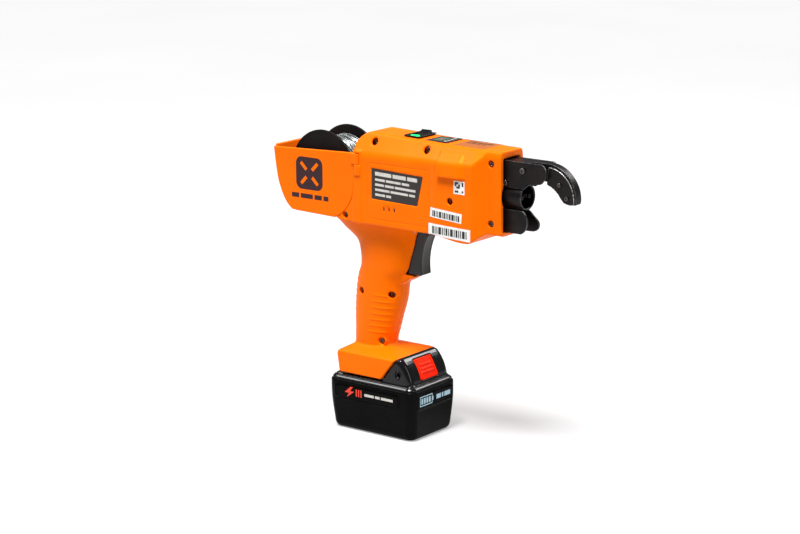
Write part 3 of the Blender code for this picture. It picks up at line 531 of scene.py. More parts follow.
def oxide_steel(name, colour):
    """Black-oxide steel: blue-black with brown patches and fine grinding lines."""
    n, roughness = Nodes(name), 0.34
    patches = n.noise(55, 5, 0.62, distortion=0.4)
    brown = tuple(c * k for c, k in zip(colour, (1.9, 1.45, 1.2)))
    pale = tuple(c * 2.6 for c in colour)
    base = n.ramp(patches, (0.32, colour), (0.55, brown), (0.80, pale))
    lines = n.noise(420, 4, 0.6, stretch=(0.12, 1, 1))
    n.feed("Base Color", n.multiply(base, n.ramp(lines, (0.35, 0.65), (0.65, 1.0)), 0.6))
    n.feed("Roughness", n.scale_value(n.noise(130, 5, 0.7), roughness - 0.12, roughness + 0.20))
    n.bumps((lines, 0.00004, 0.25), (n.noise(1500, 2, 0.5), 0.00002, 0.30))
    n.set(Metallic=0.75, Specular_IOR_Level=0.6)
    return n.material


def bright_metal(name, colour, roughness, stretch=(1, 1, 1), streak=260.0, dark=0.55):
    """Ground or drawn metal with streaks along it, tarnish and tiny scratches. dark sets how dark
    the streaks go; on the wound wire they go nearly black, as painted shade between the turns.
    """
    n = Nodes(name)
    lines = n.noise(streak, 5, 0.65, stretch=stretch)
    low = tuple(dark * c for c in colour)
    base = n.ramp(lines, (0.30, low), (0.62, colour))
    tarnish = n.ramp(n.noise(45, 4, 0.6), (0.38, 0.70), (0.62, 1.0))
    n.feed("Base Color", n.multiply(base, tarnish, 0.7))
    n.feed("Roughness", n.scale_value(n.noise(190, 4, 0.6), roughness - 0.08, roughness + 0.16))
    n.bumps((lines, 0.00005, 0.25), (n.noise(1800, 2, 0.5), 0.00001, 0.25))
    n.set(Metallic=1.0)
    return n.material


def worn_edge(name, bright):
    """A rubbed steel edge: bright metal showing through broken black oxide."""
    n = Nodes(name)
    left = n.noise(330, 5, 0.7, distortion=0.8)
    n.feed("Base Color", n.ramp(left, (0.40, (0.02, 0.02, 0.022)), (0.50, (0.5 * bright,) * 3),
                                (0.66, (bright,) * 3)))
    n.feed("Roughness", n.scale_value(left, 0.48, 0.24))
    n.bumps((n.noise(900, 3, 0.6), 0.00003, 0.3))
    n.set(Metallic=0.8)
    return n.material


def printed(name, colour, roughness=0.45):
    """Ink or a sticker's paper: slightly mottled and fibrous."""
    n = Nodes(name)
    dark = tuple(0.82 * c for c in colour)
    n.feed("Base Color", n.ramp(n.noise(300, 4, 0.6), (0.35, dark), (0.60, colour)))
    n.feed("Roughness", n.scale_value(n.noise(500, 3, 0.5), roughness - 0.08, roughness + 0.10))
    n.bumps((n.noise(1700, 3, 0.6), 0.00001, 0.3))
    n.set(Specular_IOR_Level=0.4)
    return n.material


def circuit_board(name):
    n = Nodes(name)
    cells = n.add("ShaderNodeTexVoronoi", feature="DISTANCE_TO_EDGE")
    cells.inputs["Scale"].default_value = 260
    n.wire(n.place, cells.inputs["Vector"])
    track = cells.outputs["Distance"]
    n.feed("Base Color", n.ramp(track, (0.03, (0.05, 0.30, 0.10)), (0.06, (0.008, 0.10, 0.035))))
    n.feed("Roughness", n.scale_value(n.noise(300), 0.28, 0.5))
    n.bumps((track, 0.00005, 0.5))
    return n.material


def lamp(name, colour, strength):
    n = Nodes(name)
    n.feed("Base Color", n.ramp(n.noise(200), (0.3, tuple(0.6 * c for c in colour)), (0.7, colour)))
    n.feed("Roughness", n.scale_value(n.noise(400), 0.08, 0.2))
    n.set(Emission_Strength=strength, Transmission_Weight=0.25, IOR=1.49)
    n.shader.inputs["Emission Color"].default_value = (*colour, 1)
    return n.material


# Each moulding's three colours are its own, its lightest and its darkest
ORANGE = moulded("orange_moulding", (0.96, 0.150, 0.0005), (0.98, 0.158, 0.0005),
                 (0.94, 0.142, 0.0005), 0.38, tint=(1.0, 0.62, 0.05))
TRIGGER_BLACK = moulded("trigger_moulding", (0.017, 0.0165, 0.016), (0.026, 0.025, 0.024),
                        (0.012, 0.0115, 0.011), 0.32, 0.00004, shine=0.4)
BLACK = moulded("black_moulding", (0.007, 0.007, 0.008), (0.011, 0.011, 0.012),
                (0.004, 0.004, 0.005), 0.42, 0.00005)
SATIN = moulded("battery_moulding", (0.0018,) * 3, (0.003,) * 3, (0.001,) * 3, 0.28, 0.00002,
                shine=0.06)
GLOSS = moulded("polished_black", (0.003, 0.003, 0.004), (0.005, 0.005, 0.006),
                (0.002, 0.002, 0.002), 0.15, 0.000008, 0.18, 0.3)
REEL_BLACK = moulded("reel_black", (0.007, 0.006, 0.006), (0.012, 0.010, 0.009),
                     (0.005, 0.004, 0.004), 0.50, 0.00004, shine=0.12)
RED = moulded("red_moulding", (0.88, 0.020, 0.003), (0.96, 0.030, 0.004),
              (0.80, 0.014, 0.003), 0.33, 0.00002, tint=(1.0, 0.3, 0.2))
OXIDE = oxide_steel("black_oxide", (0.010, 0.0105, 0.012))
SCREW = bright_metal("screw_steel", (0.20, 0.19, 0.175), 0.22)
WORN = worn_edge("worn_edge", 0.75)
RUBBED = worn_edge("rubbed_edge", 0.13)
STEEL = bright_metal("ground_steel", (0.62, 0.62, 0.63), 0.28)
# The wire's streaks run from nearly black to bright: the wire's own drawn streaks, and painted shade
# between the wound turns.
WIRE = bright_metal("galvanised_wire", (0.52, 0.56, 0.55), 0.24, (0.25, 3, 0.25), 190, 0.12)
BRASS = bright_metal("brass", (0.70, 0.50, 0.20), 0.30)
BOARD = circuit_board("circuit_board")
SLEEVE = moulded("cell_sleeve", (0.02, 0.13, 0.42), (0.03, 0.17, 0.50), (0.015, 0.10, 0.34),
                 0.28, 0.00001)
LABEL = printed("label_grey", (0.030, 0.024, 0.022), 0.42)
INK_LIGHT = printed("light_ink", (0.62, 0.60, 0.56))
INK_DARK = printed("dark_ink", (0.030, 0.006, 0.010), 0.36)
PAPER = printed("sticker_paper", (0.86, 0.86, 0.84), 0.40)
INK_BLACK = printed("black_ink", (0.020, 0.020, 0.024))
INK_RED = printed("red_ink", (0.85, 0.05, 0.02))
INK_BLUE = printed("pale_blue_ink", (0.42, 0.62, 0.72))
COPPER = printed("copper_sticker", (0.40, 0.115, 0.025), 0.34)
PANEL_GREEN = printed("panel_green", (0.06, 0.13, 0.09), 0.35)
GREEN_LAMP = lamp("green_lamp", (0.01, 0.75, 0.14), 3.0)


# ---- housing
# Each grip station: z, centre x, half length, half width
GRIP = (
    (78.0, -18.5, 21.5, 17.4), (90.0, -18.5, 21.5, 17.0), (97.0, -17.4, 22.6, 16.9),
    (111.0, -15.3, 24.9, 16.9), (133.0, -11.3, 27.9, 17.3), (154.0, -7.8, 28.2, 17.5),
    (165.0, -1.5, 31.0, 17.8), (178.0, 0.3, 33.5, 18.2), (190.0, 0.3, 37.7, 18.8),
    (201.0, -6.2, 47.2, 20.0), (213.0, -11.0, 57.0, 22.5),
)
# Housing screws: node, x, z, y of the head's seat
HOUSING_SCREWS = (
    ("nose_screw_upper", 133.6, 283.0, -16.3), ("nose_screw_lower", 133.1, 226.0, -16.3),
    ("side_screw", 94.5, 245.0, -26.8), ("heel_screw", -33.2, 216.5, -27.2),
    ("crest_screw_rear", -1.1, 291.2, -19.2), ("crest_screw_front", 62.1, 289.5, -20.0),
    ("grip_screw_rear", -25.2, 139.0, -12.5), ("grip_screw_front", 10.3, 139.0, -10.0),
    ("grip_screw_lower", -2.3, 90.6, -13.5),
)
RECESS = 3.4  # radius of a screw's recess
# Lines of the side view, in x and z: the bay's rear wall, and the door's lower front edge
BAY_REAR = [(-123.6, 277.8), (-122.1, 262.0), (-118.5, 241.8), (-111.6, 225.6), (-105.6, 218.0),
            (-101.3, 214.7)]
DOOR_EDGE = [(-45.6, 211.4), (-37.3, 218.1), (-29.9, 225.8), (-24.3, 235.6), (-21.9, 247.4),
             (-21.4, 259.0)]
CREST_X, CREST_BEND = -8.0, 70.0  # the crest's highest place, and where its fall slackens
PAD_REAR, PAD_FRONT, PAD_LOW = 80.6, 104.5, 268.0  # the raised pads on the shoulders
PAD_INSIDE = 23.6
# Boxes cut from the housing: two corners, the rounding inside and the rounding of the rim
TRIGGER_ROOM = ((16.5, -8.4, 160.4), (62.0, 8.4, 209.8), 1.5, 0.8)
SWITCH_ROOM = ((SWITCH_X - 8.2, -13.5, 288.0), (SWITCH_X + 8.2, 13.5, 306.0), 0.8, 0.3)
PANEL_ROOM = ((52.7, -13.3, 295.9), (78.3, 13.3, 306.0), 0.8, 0.3)
TOWER_ROOM = ((-38.5, -28.5, 50.0), (46.0, 28.5, 77.0), 0.6, 0.5)
RAIL_ROOM = ((-37.0, -30.3, 63.7), (46.0, 30.3, 68.3), 0.3, 0.3)
WIRE_WAY = ((-31.0, -2.5, 276.5), (-14.0, 2.5, 283.5), 0.5, 0.4)
HINGE_POCKET = ((-21.4, -45.0, 257.3), (-14.6, -26.2, 279.6), 0.4, 0.4)


def sunk(node):
    """How much deeper a screw's head sits than its CAD solid: the nose screws lie nearly flush."""
    return 1.0 if "nose" in node else 2.2


def crest_height(x):
    fall = 0.0385 * clamp(x - CREST_X, 0, CREST_BEND - CREST_X)
    return 299.6 - fall - 0.0215 * np.maximum(x - CREST_BEND, 0)


def barrel(x, y, z):
    """The closed outer body, from the crest behind the reel bay's wall to the nose."""
    taper_start, taper_length = 119.5, 9.5
    nose = clamp((x - taper_start) / taper_length, 0, 1)
    raised = ease(x, 71.0, 76.5)
    half = HALF + 0.8 * raised * (1 - nose) - (HALF - NOSE_HALF) * nose
    floor = 210.5 - 4.2 * ease(x, 72.0, 108.0) + 9.4 * ease(x, 114.0, 130.0)
    crest = crest_height(x)
    rear = np.sqrt(np.maximum(15.2**2 - (x - CREST_X) ** 2, 0)) + 284.4
    crest = np.where(x < CREST_X, rear, crest)
    shoulder = 279.0 + 0.017 * (x + 22.0) + 9.4 * nose
    crest_half = 18.0 - 1.5 * nose
    side = np.abs(y) - half
    rise, run = crest_height(x) - shoulder, half - crest_half
    slope = ((np.abs(y) - crest_half) * rise + (z - shoulder - rise) * run) / np.hypot(rise, run)
    shape = both(side, slope, 2.2)
    shape = both(shape, z - crest, 2.4)
    shape = both(shape, floor - z, 1.5)
    return both(shape, slab(x, -23.0, NOSE_FRONT), 1.4)


def bay_body(x, y, z):
    return both(BAY_SIDE_VIEW(x, z), np.abs(y) - HALF, 1.6)


def make_outlines():
    rear = smooth_line(BAY_REAR)
    body = rear + [(-96.0, 213.9), (-47.0, 212.7), (-39.6, 211.0), (-13.0, 210.6), (-13.0, 281.8)]
    body += [(-25.4, 281.8), (-28.0, 277.8)]
    inner_rear = [(x + 2.3, z) for x, z in rear[:-1]]
    bay_radius, bay_floor, above = 43.8, 215.2, 306.0
    start = -math.degrees(math.asin((REEL.z - bay_floor) / bay_radius))
    front = arc((REEL.x, REEL.z), bay_radius, start, -14, 12)
    hollow = [(inner_rear[0][0], above)] + inner_rear + [(-99.6, 216.3)] + front
    hollow += [(front[-1][0] + 0.3, 268.0), (front[-1][0] + 0.3, above)]
    seam = [(x + GAP, z - GAP) for x, z in smooth_line(DOOR_EDGE)]
    recess = [(-132.0, 205.0), (-60.0, 205.0)] + seam + [(DOOR_FRONT + GAP, 302.0), (-132.0, 302.0)]
    return outline_field(body), outline_field(hollow), outline_field(recess)


BAY_SIDE_VIEW, BAY_HOLLOW, DOOR_RECESS = make_outlines()


def oval(x, y, z, inset=0.0):
    centre = blur_table(GRIP, 1, z)
    a = blur_table(GRIP, 2, z) - inset
    b = blur_table(GRIP, 3, z) - inset
    power = 2.6
    ratio = ((np.abs(x - centre) / a) ** power + (np.abs(y) / b) ** power) ** (1 / power)
    return (ratio - 1) * b


def grip(x, y, z):
    """The grip with its ribs: a front group that reaches round the sides and a shorter rear one."""
    shape = oval(x, y, z)
    centre = blur_table(GRIP, 1, z)
    top_rib, pitch = 137.2, 6.3
    ribs = np.maximum(np.cos((z - top_rib) / pitch * 2 * math.pi), 0) ** 3
    front = ease(x - centre, -1.0, 3.0) * ease(z, 91.0, 98.0) * (1 - ease(z, 138.0, 144.0))
    rear = (1 - ease(x - centre, -19.0, -14.0)) * ease(z, 108.0, 116.0)
    rear = rear * (1 - ease(z, 152.0, 160.0))
    fade = 1 - 0.7 * ease(x - centre, 17.0, 25.0)
    shape = shape - 0.45 * ribs * fade * np.maximum(front, 0.7 * rear)  # 0.45 mm proud
    return both(shape, slab(z, 78.0, 213.0), 0.5)


def foot(x, y, z):
    """The wide foot that straddles the battery's tower."""
    across, half, low = np.abs(y), 33.5, 58.0

    def slope(from_x, from_z, a, b):
        return (from_x * a + from_z * b) / math.hypot(a, b)

    side_slope = slope(across - half, z - 79.6, 4.6, 16.5)
    front = slope(x - 11.4, z - low, 21.8, -17.1)
    front_top = slope(x - 28.5, z - 79.8, 5.0, 23.5)
    rear = slope(-42.0 - x, z - low, 17.0, -2.5)
    rear_top = slope(-44.5 - x, z - 78.6, 5.5, 8.0)
    shape = both(across - half, both(rear, rear_top, 3.0), 4.0)
    shape = both(shape, side_slope, 2.0)
    shape = both(shape, front_top, 1.4)
    shape = both(shape, front, 1.0)
    return both(shape, low - z, 0.8)


def shoulder_pads(x, y, z):
    """The raised pads on both shoulders, over the side and the chamfer, thinner upwards."""
    grown = barrel(x, y, z) - 3.6 + 0.11 * clamp(z - PAD_LOW, 0, 20)
    bevel = (x - PAD_FRONT + 2.6 * grown) / 2.79
    pad = both(both(PAD_REAR - x, bevel, 0.4), PAD_LOW - z, 0.5)
    return both(both(grown, pad, 0.5), PAD_INSIDE - np.abs(y), 1.2)


def hinge_knuckle(x, y, z):
    """The body's half of the door's hinge."""
    low, high = 257.6, 267.9
    body = both(np.hypot(x - HINGE[0], y - HINGE[1]) - 2.7, slab(z, low, high), 0.4)
    bridge = box_field(x, y, z, (-20.8, -31.3, low), (-12.8, -25.5, high), 0.7)
    return either(body, bridge, 1.0)


def finger_rest(x, y, z):
    """The small lip under the trigger."""
    lip = outline_field([(10.0, 148.0), (23.0, 152.4), (34.3, 158.8), (31.5, 160.4), (10.0, 160.4)])
    return both(lip(x, z), np.abs(y) - 10.2, 2.6)


def cut_boxes(shape, x, y, z, *boxes):
    """Cuts boxes out of a shape. Each is (low corner, high corner, rounding, rim's rounding)."""
    for low, high, r, rim in boxes:
        shape = without(shape, box_field(x, y, z, low, high, r), rim)
    return shape


def openings(shape, x, y, z):
    """The front opening for the jaw and the tube, and the rooms for what the housing holds."""
    jaw = both(both(slab(y, -13.7, 13.7), slab(z, 217.6, 288.5), 2.0), slab(x, 137.0, 160.0), 0.5)
    tube = both(np.hypot(y, z - TWIST_Z) - 16.2, slab(x, 136.0, 160.0), 0.5)
    shape = without(shape, either(jaw, tube, 0.8), 0.9)
    return cut_boxes(shape, x, y, z, TRIGGER_ROOM, SWITCH_ROOM, PANEL_ROOM, TOWER_ROOM, RAIL_ROOM,
                     WIRE_WAY)


def side_groove(shape, y, mark, depth, r, rim):
    """Cuts a mark that is given as a field of the side view this deep into the right side."""
    return without(shape, both(mark, y + HALF - depth, r), rim)


def housing(x, y, z):
    outer = either(barrel(x, y, z), bay_body(x, y, z), 2.0)
    outer = either(outer, grip(x, y, z), 1.4)
    outer = either(outer, foot(x, y, z), 2.4)
    outer = either(outer, shoulder_pads(x, y, z), 0.3)
    beside = both(slab(x, 79.3, 80.5), slab(z, 267.0, 294.0), 0.2)
    groove = both(both(beside, 23.0 - np.abs(y), 0.2), -0.7 - barrel(x, y, z), 0.2)
    outer = without(outer, groove, 0.3)
    outer = either(outer, finger_rest(x, y, z), 2.6)
    chin = box_field(x, y, z, (120.0, -9.0, 212.6), (141.4, 12.5, 222.0), 2.5)
    outer = either(outer, chin, 2.5)
    hollow = both(barrel(x, y, z) + WALL, slab(x, -19.8, 141.4), 1.5)
    inside = both(oval(x, y, z, WALL), slab(z, 74.0, 214.0), 1.0)
    shape = without(outer, either(hollow, inside, 2.0), 0.6)
    bay = both(BAY_HOLLOW(x, z), slab(y, -45.0, 27.5), 0.8)
    shape = without(shape, bay, 0.7)
    shape = openings(shape, x, y, z)
    for _, sx, sz, seat in HOUSING_SCREWS:
        boss = rod_y(x, y, z, sx, sz, 4.4, seat + 0.8, min(seat + 14.0, 0.0))
        shape = either(shape, boss, 0.5)
    shape = side_groove(shape, y, DOOR_RECESS(x, z), 2.8, 0.4, 0.35)
    shape = cut_boxes(shape, x, y, z, HINGE_POCKET)
    shape = either(shape, hinge_knuckle(x, y, z), 0.3)
    for node, sx, sz, seat in HOUSING_SCREWS:
        flare = 1.7 if "crest" in node else 0.8
        shape = without(shape, rod_y(x, y, z, sx, sz, RECESS, -50.0, seat + sunk(node)), flare)
    label = outline_field([(0.0, 267.1), (62.6, 264.8), (55.8, 235.3), (-0.2, 236.5)])(x, z)
    shape = side_groove(shape, y, label, LABEL_DEPTH, 0.3, 0.4)
    panel = outline_field(rounded_box(-4.0, 71.0, 217.0, 271.5, 3.0, 3))(x, z)
    shape = side_groove(shape, y, np.abs(panel) - 0.45, 0.22, 0.3, 0.4)
    for low, high in LEDS:
        slot = outline_field(rounded_box(low, high, 226.0, 230.2, 0.6, 2))(x, z)
        shape = side_groove(shape, y, slot, LED_DEPTH, 0.3, 0.3)
    return shape


def make_housing():
    low_z, high_z, depth = 56.0, 303.0, 36.3
    for name, side, low_y in (("housing_shell_right", 1, -35.4), ("housing_shell_left", -1, -0.9)):
        def half(x, y, z):
            return both(housing(x, y, z), side * y + 0.02, 0.45)

        shell = from_field(name, half, (-124.0, low_y, low_z), (147.0, low_y + depth, high_z), FINE,
                           thin=0.41)
        node = "housing_right" if side > 0 else "housing_left"
        dress(shell, "tool", ORANGE, node)


def make_door():
    rear = [(x, z - 2.2 if z > 270 else z) for x, z in smooth_line(BAY_REAR)]
    seam = smooth_line([(-46.5, 212.6)] + DOOR_EDGE[1:])
    view = outline_field(rear + [(-96.0, 213.9)] + seam
                         + [(DOOR_FRONT, 268.0), (DOOR_FRONT, 279.4)])
    inner = [(x + 2.2, z) for x, z in rear[:-1]] + [(-99.4, 216.9)]
    lip_view = outline_field(rear + [(-99.0, 214.3)] + inner[::-1])

    def door(x, y, z):
        plate = both(view(x, z), slab(y, -HALF, -HALF + 2.5), 0.9)
        lip = both(lip_view(x, z), slab(y, -HALF + 1.0, -19.0), 0.5)
        shape = either(plate, lip, 1.2)
        low, high = 268.3, 278.8
        from_pin = np.hypot(x - HINGE[0], y - HINGE[1])
        knuckle = both(from_pin - 2.6, slab(z, low, high), 0.4)
        tab = box_field(x, y, z, (-24.5, -31.2, low), (-15.4, -27.4, high), 0.7)
        shape = either(shape, either(knuckle, tab, 0.8), 0.4)
        return without(shape, from_pin - 1.5, 0.2)

    piece = from_field("reel_door", door, (-124.0, -33.2, 211.0), (-13.0, -17.6, 281.5), 0.62,
                       thin=0.75)
    dress(piece, "door", ORANGE, "spool_door")


# ---- battery
def rounded_rectangle(x, y, a, b, corner):
    """Distance to a rectangle with half sides a and b and rounded corners."""
    qx, qy = np.abs(x) - (a - corner), np.abs(y) - (b - corner)
    outside = np.hypot(np.maximum(qx, 0), np.maximum(qy, 0))
    return outside + np.minimum(np.maximum(qx, qy), 0) - corner


CASE_X, CASE_Y = 53.0, 36.5  # half length and width at the widest, just under the cover
CASE_CORNER = 9.0


def case_outside(x, y, z):
    taper = 3.6 * (1 - ease(z, -14.0, 46.0)) ** 1.3
    plan = rounded_rectangle(x, y, CASE_X - taper, CASE_Y - taper, CASE_CORNER)
    return both(plan, -z, 6.5)


def battery_case(x, y, z):
    shape = both(case_outside(x, y, z), z - 50.6, 2.2)
    hollow = both(rounded_rectangle(x, y, 46.4, 31.0, 7.5), slab(z, 2.6, 60.0), 2.0)
    shape = without(shape, hollow, 0.5)
    side = outline_field(rounded_box(-44.0, 36.5, 31.6, 46.6, 4.2, 5))(x, z)
    front = outline_field(rounded_box(-29.5, 29.5, 31.0, 46.6, 4.2, 5))(y, z)
    for mark, inward in ((side, CASE_Y - 1.1 - np.abs(y)), (front, CASE_X - 1.1 - np.abs(x))):
        shape = without(shape, both(both(mark, -mark - 1.3, 0.3), inward, 0.4), 0.5)
    skin = case_outside(x, y, z)
    edges = np.minimum(np.abs(side), np.abs(front)) - 0.5
    rim = both(edges, both(skin - 0.4, -skin - 1.2, 0.1), 0.3)
    shape = either(shape, rim, 0.3)
    under = np.abs(rounded_rectangle(x, y, 36.0, 21.0, 5.0)) - 0.5
    return without(shape, both(under, z - 0.6, 0.3), 0.3)


DIAGONAL = math.sqrt(0.5)
TOWER_FRONT = outline_field([(0.0, 50.0), (0.0, 81.4), (31.0, 81.4)]
                            + arc_through((34.5, 80.2), (42.3, 70.5), (47.8, 50.0), 10))
BUTTON_TOP, BUTTON_BOTTOM = (36.2, 77.2), (46.4, 58.0)
BUTTON_IN = (-0.883117, -0.469155)
BUTTON_LENGTH = math.hypot(BUTTON_BOTTOM[0] - BUTTON_TOP[0], BUTTON_BOTTOM[1] - BUTTON_TOP[1])
EYE = (31.8, 64.9)  # x and z of the round eye in the cover's sides
COVER_CUTS = [((-27.0, -24.5, 40.0), (21.0, 24.5, 73.5), 1.0, 0.4)]
COVER_CUTS += [((-45.0, slot - 1.3, 69.5), (-21.0, slot + 1.3, 82.0), 0.3, 0.3)
               for slot in (-9.0, 0.0, 9.0)]


def button_places(x, z):
    """How far down the slope and how far into the tower a point is, from the button's top edge."""
    down = (-BUTTON_IN[1], BUTTON_IN[0])
    u, w = x - BUTTON_TOP[0], z - BUTTON_TOP[1]
    return u * down[0] + w * down[1], u * BUTTON_IN[0] + w * BUTTON_IN[1]


def battery_cover(x, y, z):
    plan = rounded_rectangle(x, y, CASE_X - 1.0, CASE_Y - 1.0, CASE_CORNER)
    inner = plan + 3.2
    rim = both(both(plan, slab(z, 50.9, 53.8), 0.5), (plan + z - 52.0) * DIAGONAL, 0.4)
    step = both(both(inner, slab(z, 52.0, 55.8), 0.5), (inner + z - 54.5) * DIAGONAL, 0.4)
    shape = either(rim, step, 0.4)
    shape = either(shape, box_field(x, y, z, (-30.4, -28.0, 54.0), (30.0, 28.0, 76.4), 1.2), 0.4)
    rails = box_field(x, y, z, (-30.0, -29.9, 64.1), (20.0, 29.9, 67.9), 0.4)
    shape = either(shape, rails, 0.3)
    tower = both(TOWER_FRONT(x, z), np.abs(y) - 31.6, 7.0)
    heel = ((10.9 - x) * 23.6 + (z - 55.0) * 18.0) / math.hypot(23.6, 18.0)
    shape = either(shape, both(tower, heel, 1.2), 0.8)
    from_eye = np.hypot(x - EYE[0], z - EYE[1])
    shape = either(shape, both(from_eye - 4.4, np.abs(y) - 32.3, 0.5), 0.3)
    shape = without(shape, both(from_eye - 3.6, 30.2 - np.abs(y), 0.4), 0.3)
    shape = cut_boxes(shape, x, y, z, *COVER_CUTS)
    along, depth = button_places(x, z)
    pocket = both(slab(along, -0.5, BUTTON_LENGTH + 0.5), slab(depth, -12.0, 8.3), 0.5)
    shape = without(shape, both(pocket, np.abs(y) - 14.0, 0.8), 0.7)
    return without(shape, both(from_eye - 2.2, 27.0 - np.abs(y), 0.3), 0.7)


def release_button(x, y, z):
    along, depth = button_places(x, z)
    shape = both(slab(along, 0.0, BUTTON_LENGTH), np.abs(y) - 13.5, 1.6)
    crown = -1.3 - 0.5 * np.sin(along / BUTTON_LENGTH * math.pi)
    ribs = sum(np.exp(-(((along - 7.4 - 3.9 * k) / 0.75) ** 2)) for k in range(3))
    ribs = ribs * (1 - ease(np.abs(y), 8.5, 10.0)) * 1.3
    frame = 1.0 * ease(np.abs(y), 9.4, 10.4) * (1 - ease(np.abs(y), 11.6, 12.6))
    return both(shape, slab(depth, crown - ribs - frame, 3.5), 0.7)


def make_battery():
    """The case, its cover and the button, each carved from its own field."""
    case = from_field("battery_lower_case", battery_case, (-56.0, -39.0, -1.5), (56.0, 39.0, 53.0),
                      0.78, thin=0.8)
    dress(case, "battery", SATIN, "battery_case")
    cover = from_field("battery_top_cover", battery_cover, (-55.5, -38.5, 49.5), (55.5, 38.5, 83.5),
                       0.66, thin=0.8)
    dress(cover, "battery", GLOSS, "battery_cover")
    button = from_field("battery_release", release_button, (33.0, -15.0, 55.5), (50.0, 15.0, 80.5),
                        0.42)
    dress(button, "release", RED, "release_button")


# ---- reel
def make_reel():
    """Two flanges, mirrored, on a core, with the wire wound between them."""
    centre = (REEL.x, REEL.z)
    rim, hub = REEL_RADIUS - 0.1, 12.5
    profile = [(hub, 21.4), (18.0, 21.4), (18.4, 21.0), (rim - 3.0, 21.0), (rim - 2.4, 21.4),
               (rim - 0.4, 21.4), (rim, 21.0), (rim, 19.6), (rim - 0.5, 19.2), (16.5, 19.2),
               (hub, 19.2)]
    for name, side in (("right", -1), ("left", 1)):
        section = [(r, side * y) for r, y in profile][::-side]
        flange = shaped(f"reel_flange_{name}", turned(section, centre, "Y", 112), 0.25, 2)
        dress(flange, "reel", REEL_BLACK, ["wire_reel"] if side < 0 else ())
    core = shaped("reel_core", turned(quad(hub, 16.0, -19.1, 19.1), centre, "Y"), 0.2)
    dress(core, "reel", REEL_BLACK)
    make_winding(centre)


def make_winding(centre):
    """The wound wire: a solid bed under two crossing layers of turns. The bed is dark, painted shade
    seen between the top turns.
    """
    bed = shaped("winding_bed", turned(quad(16.3, 28.9, -18.7, 18.7), centre, "Y"))
    # The bed stands for the deeper wire; its dark oxide is painted shade in the gaps between the top
    # turns.
    dress(bed, "reel", OXIDE)
    wires, per_turn = [], 44
    for start, pitch, radius, turns in ((-18.1, 1.3, 29.6, 28), (17.6, -4.4, 30.6, 8)):
        path = []
        for k in range(turns * per_turn + 1):
            turn = k / per_turn
            angle = 2 * math.pi * turn
            wander = 0.12 * math.sin(5.1 * turn) + 0.10 * math.sin(0.83 * angle + turn)
            reach = radius + 0.14 * math.sin(3.3 * turn)
            path.append(Vector((centre[0] + reach * math.cos(angle), start + pitch * turn + wander,
                                centre[1] + reach * math.sin(angle))))
        wires.append(tube(path, 0.52, 6))
    dress(shaped("wire_winding", joined(*wires)), "reel", WIRE, "wire_coil")


def tube(path, radius, sides):
    """A round wire along points, its section kept square to the path."""
    rings = []
    for i, point in enumerate(path):
        along = (path[min(i + 1, len(path) - 1)] - path[max(i - 1, 0)]).normalized()
        across = along.cross(Vector((0.0, 1.0, 0.0))).normalized()
        up = across.cross(along)
        ring = []
        for k in range(sides):
            turn = 2 * math.pi * k / sides
            ring.append(point + (across * math.cos(turn) + up * math.sin(turn)) * radius)
        rings.append(ring)
    return loft(rings)


# ---- screws
def circle(radius, y, centre, sides=None):
    """A ring of points about an axis along Y, round or pressed into a polygon of some sides."""
    points, steps = [], 24
    for k in range(steps):
        turn = 2 * math.pi * k / steps
        r = radius
        if sides:
            part = 2 * math.pi / sides
            r = radius * math.cos(part / 2) / math.cos(turn % part - part / 2)
        points.append((centre[0] + r * math.cos(turn), y, centre[1] + r * math.sin(turn)))
    return points


def socket_screw(node, deeper=0.0):
    """A hexagon-socket screw in its CAD node's place. Its head looks along -Y."""
    low, high = (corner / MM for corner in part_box(node))
    centre = ((low.x + high.x) / 2, (low.z + high.z) / 2)
    radius = (high.x - low.x) / 2
    outer, tip = low.y + deeper, high.y
    height = 1.5
    rings = [circle(1.15, tip, centre), circle(1.15, outer + height, centre),
             circle(radius, outer + height, centre), circle(radius, outer + 0.35, centre),
             circle(radius - 0.12, outer + 0.12, centre), circle(radius - 0.4, outer, centre),
             circle(radius * 0.66, outer, centre, sides=6),
             circle(radius * 0.60, outer + 0.12, centre, sides=6),
             circle(radius * 0.58, outer + 1.4, centre, sides=6),
             circle(radius * 0.15, outer + 1.45, centre)]
    screw = shaped(f"{node}_socket", loft(rings))
    return dress(screw, "tool", SCREW, node)


def make_screws():
    for node, *_ in HOUSING_SCREWS:
        socket_screw(node, sunk(node))
    for node in ("jaw_screw_upper", "jaw_screw_lower", "curl_screw_upper", "curl_screw_lower"):
        socket_screw(node)


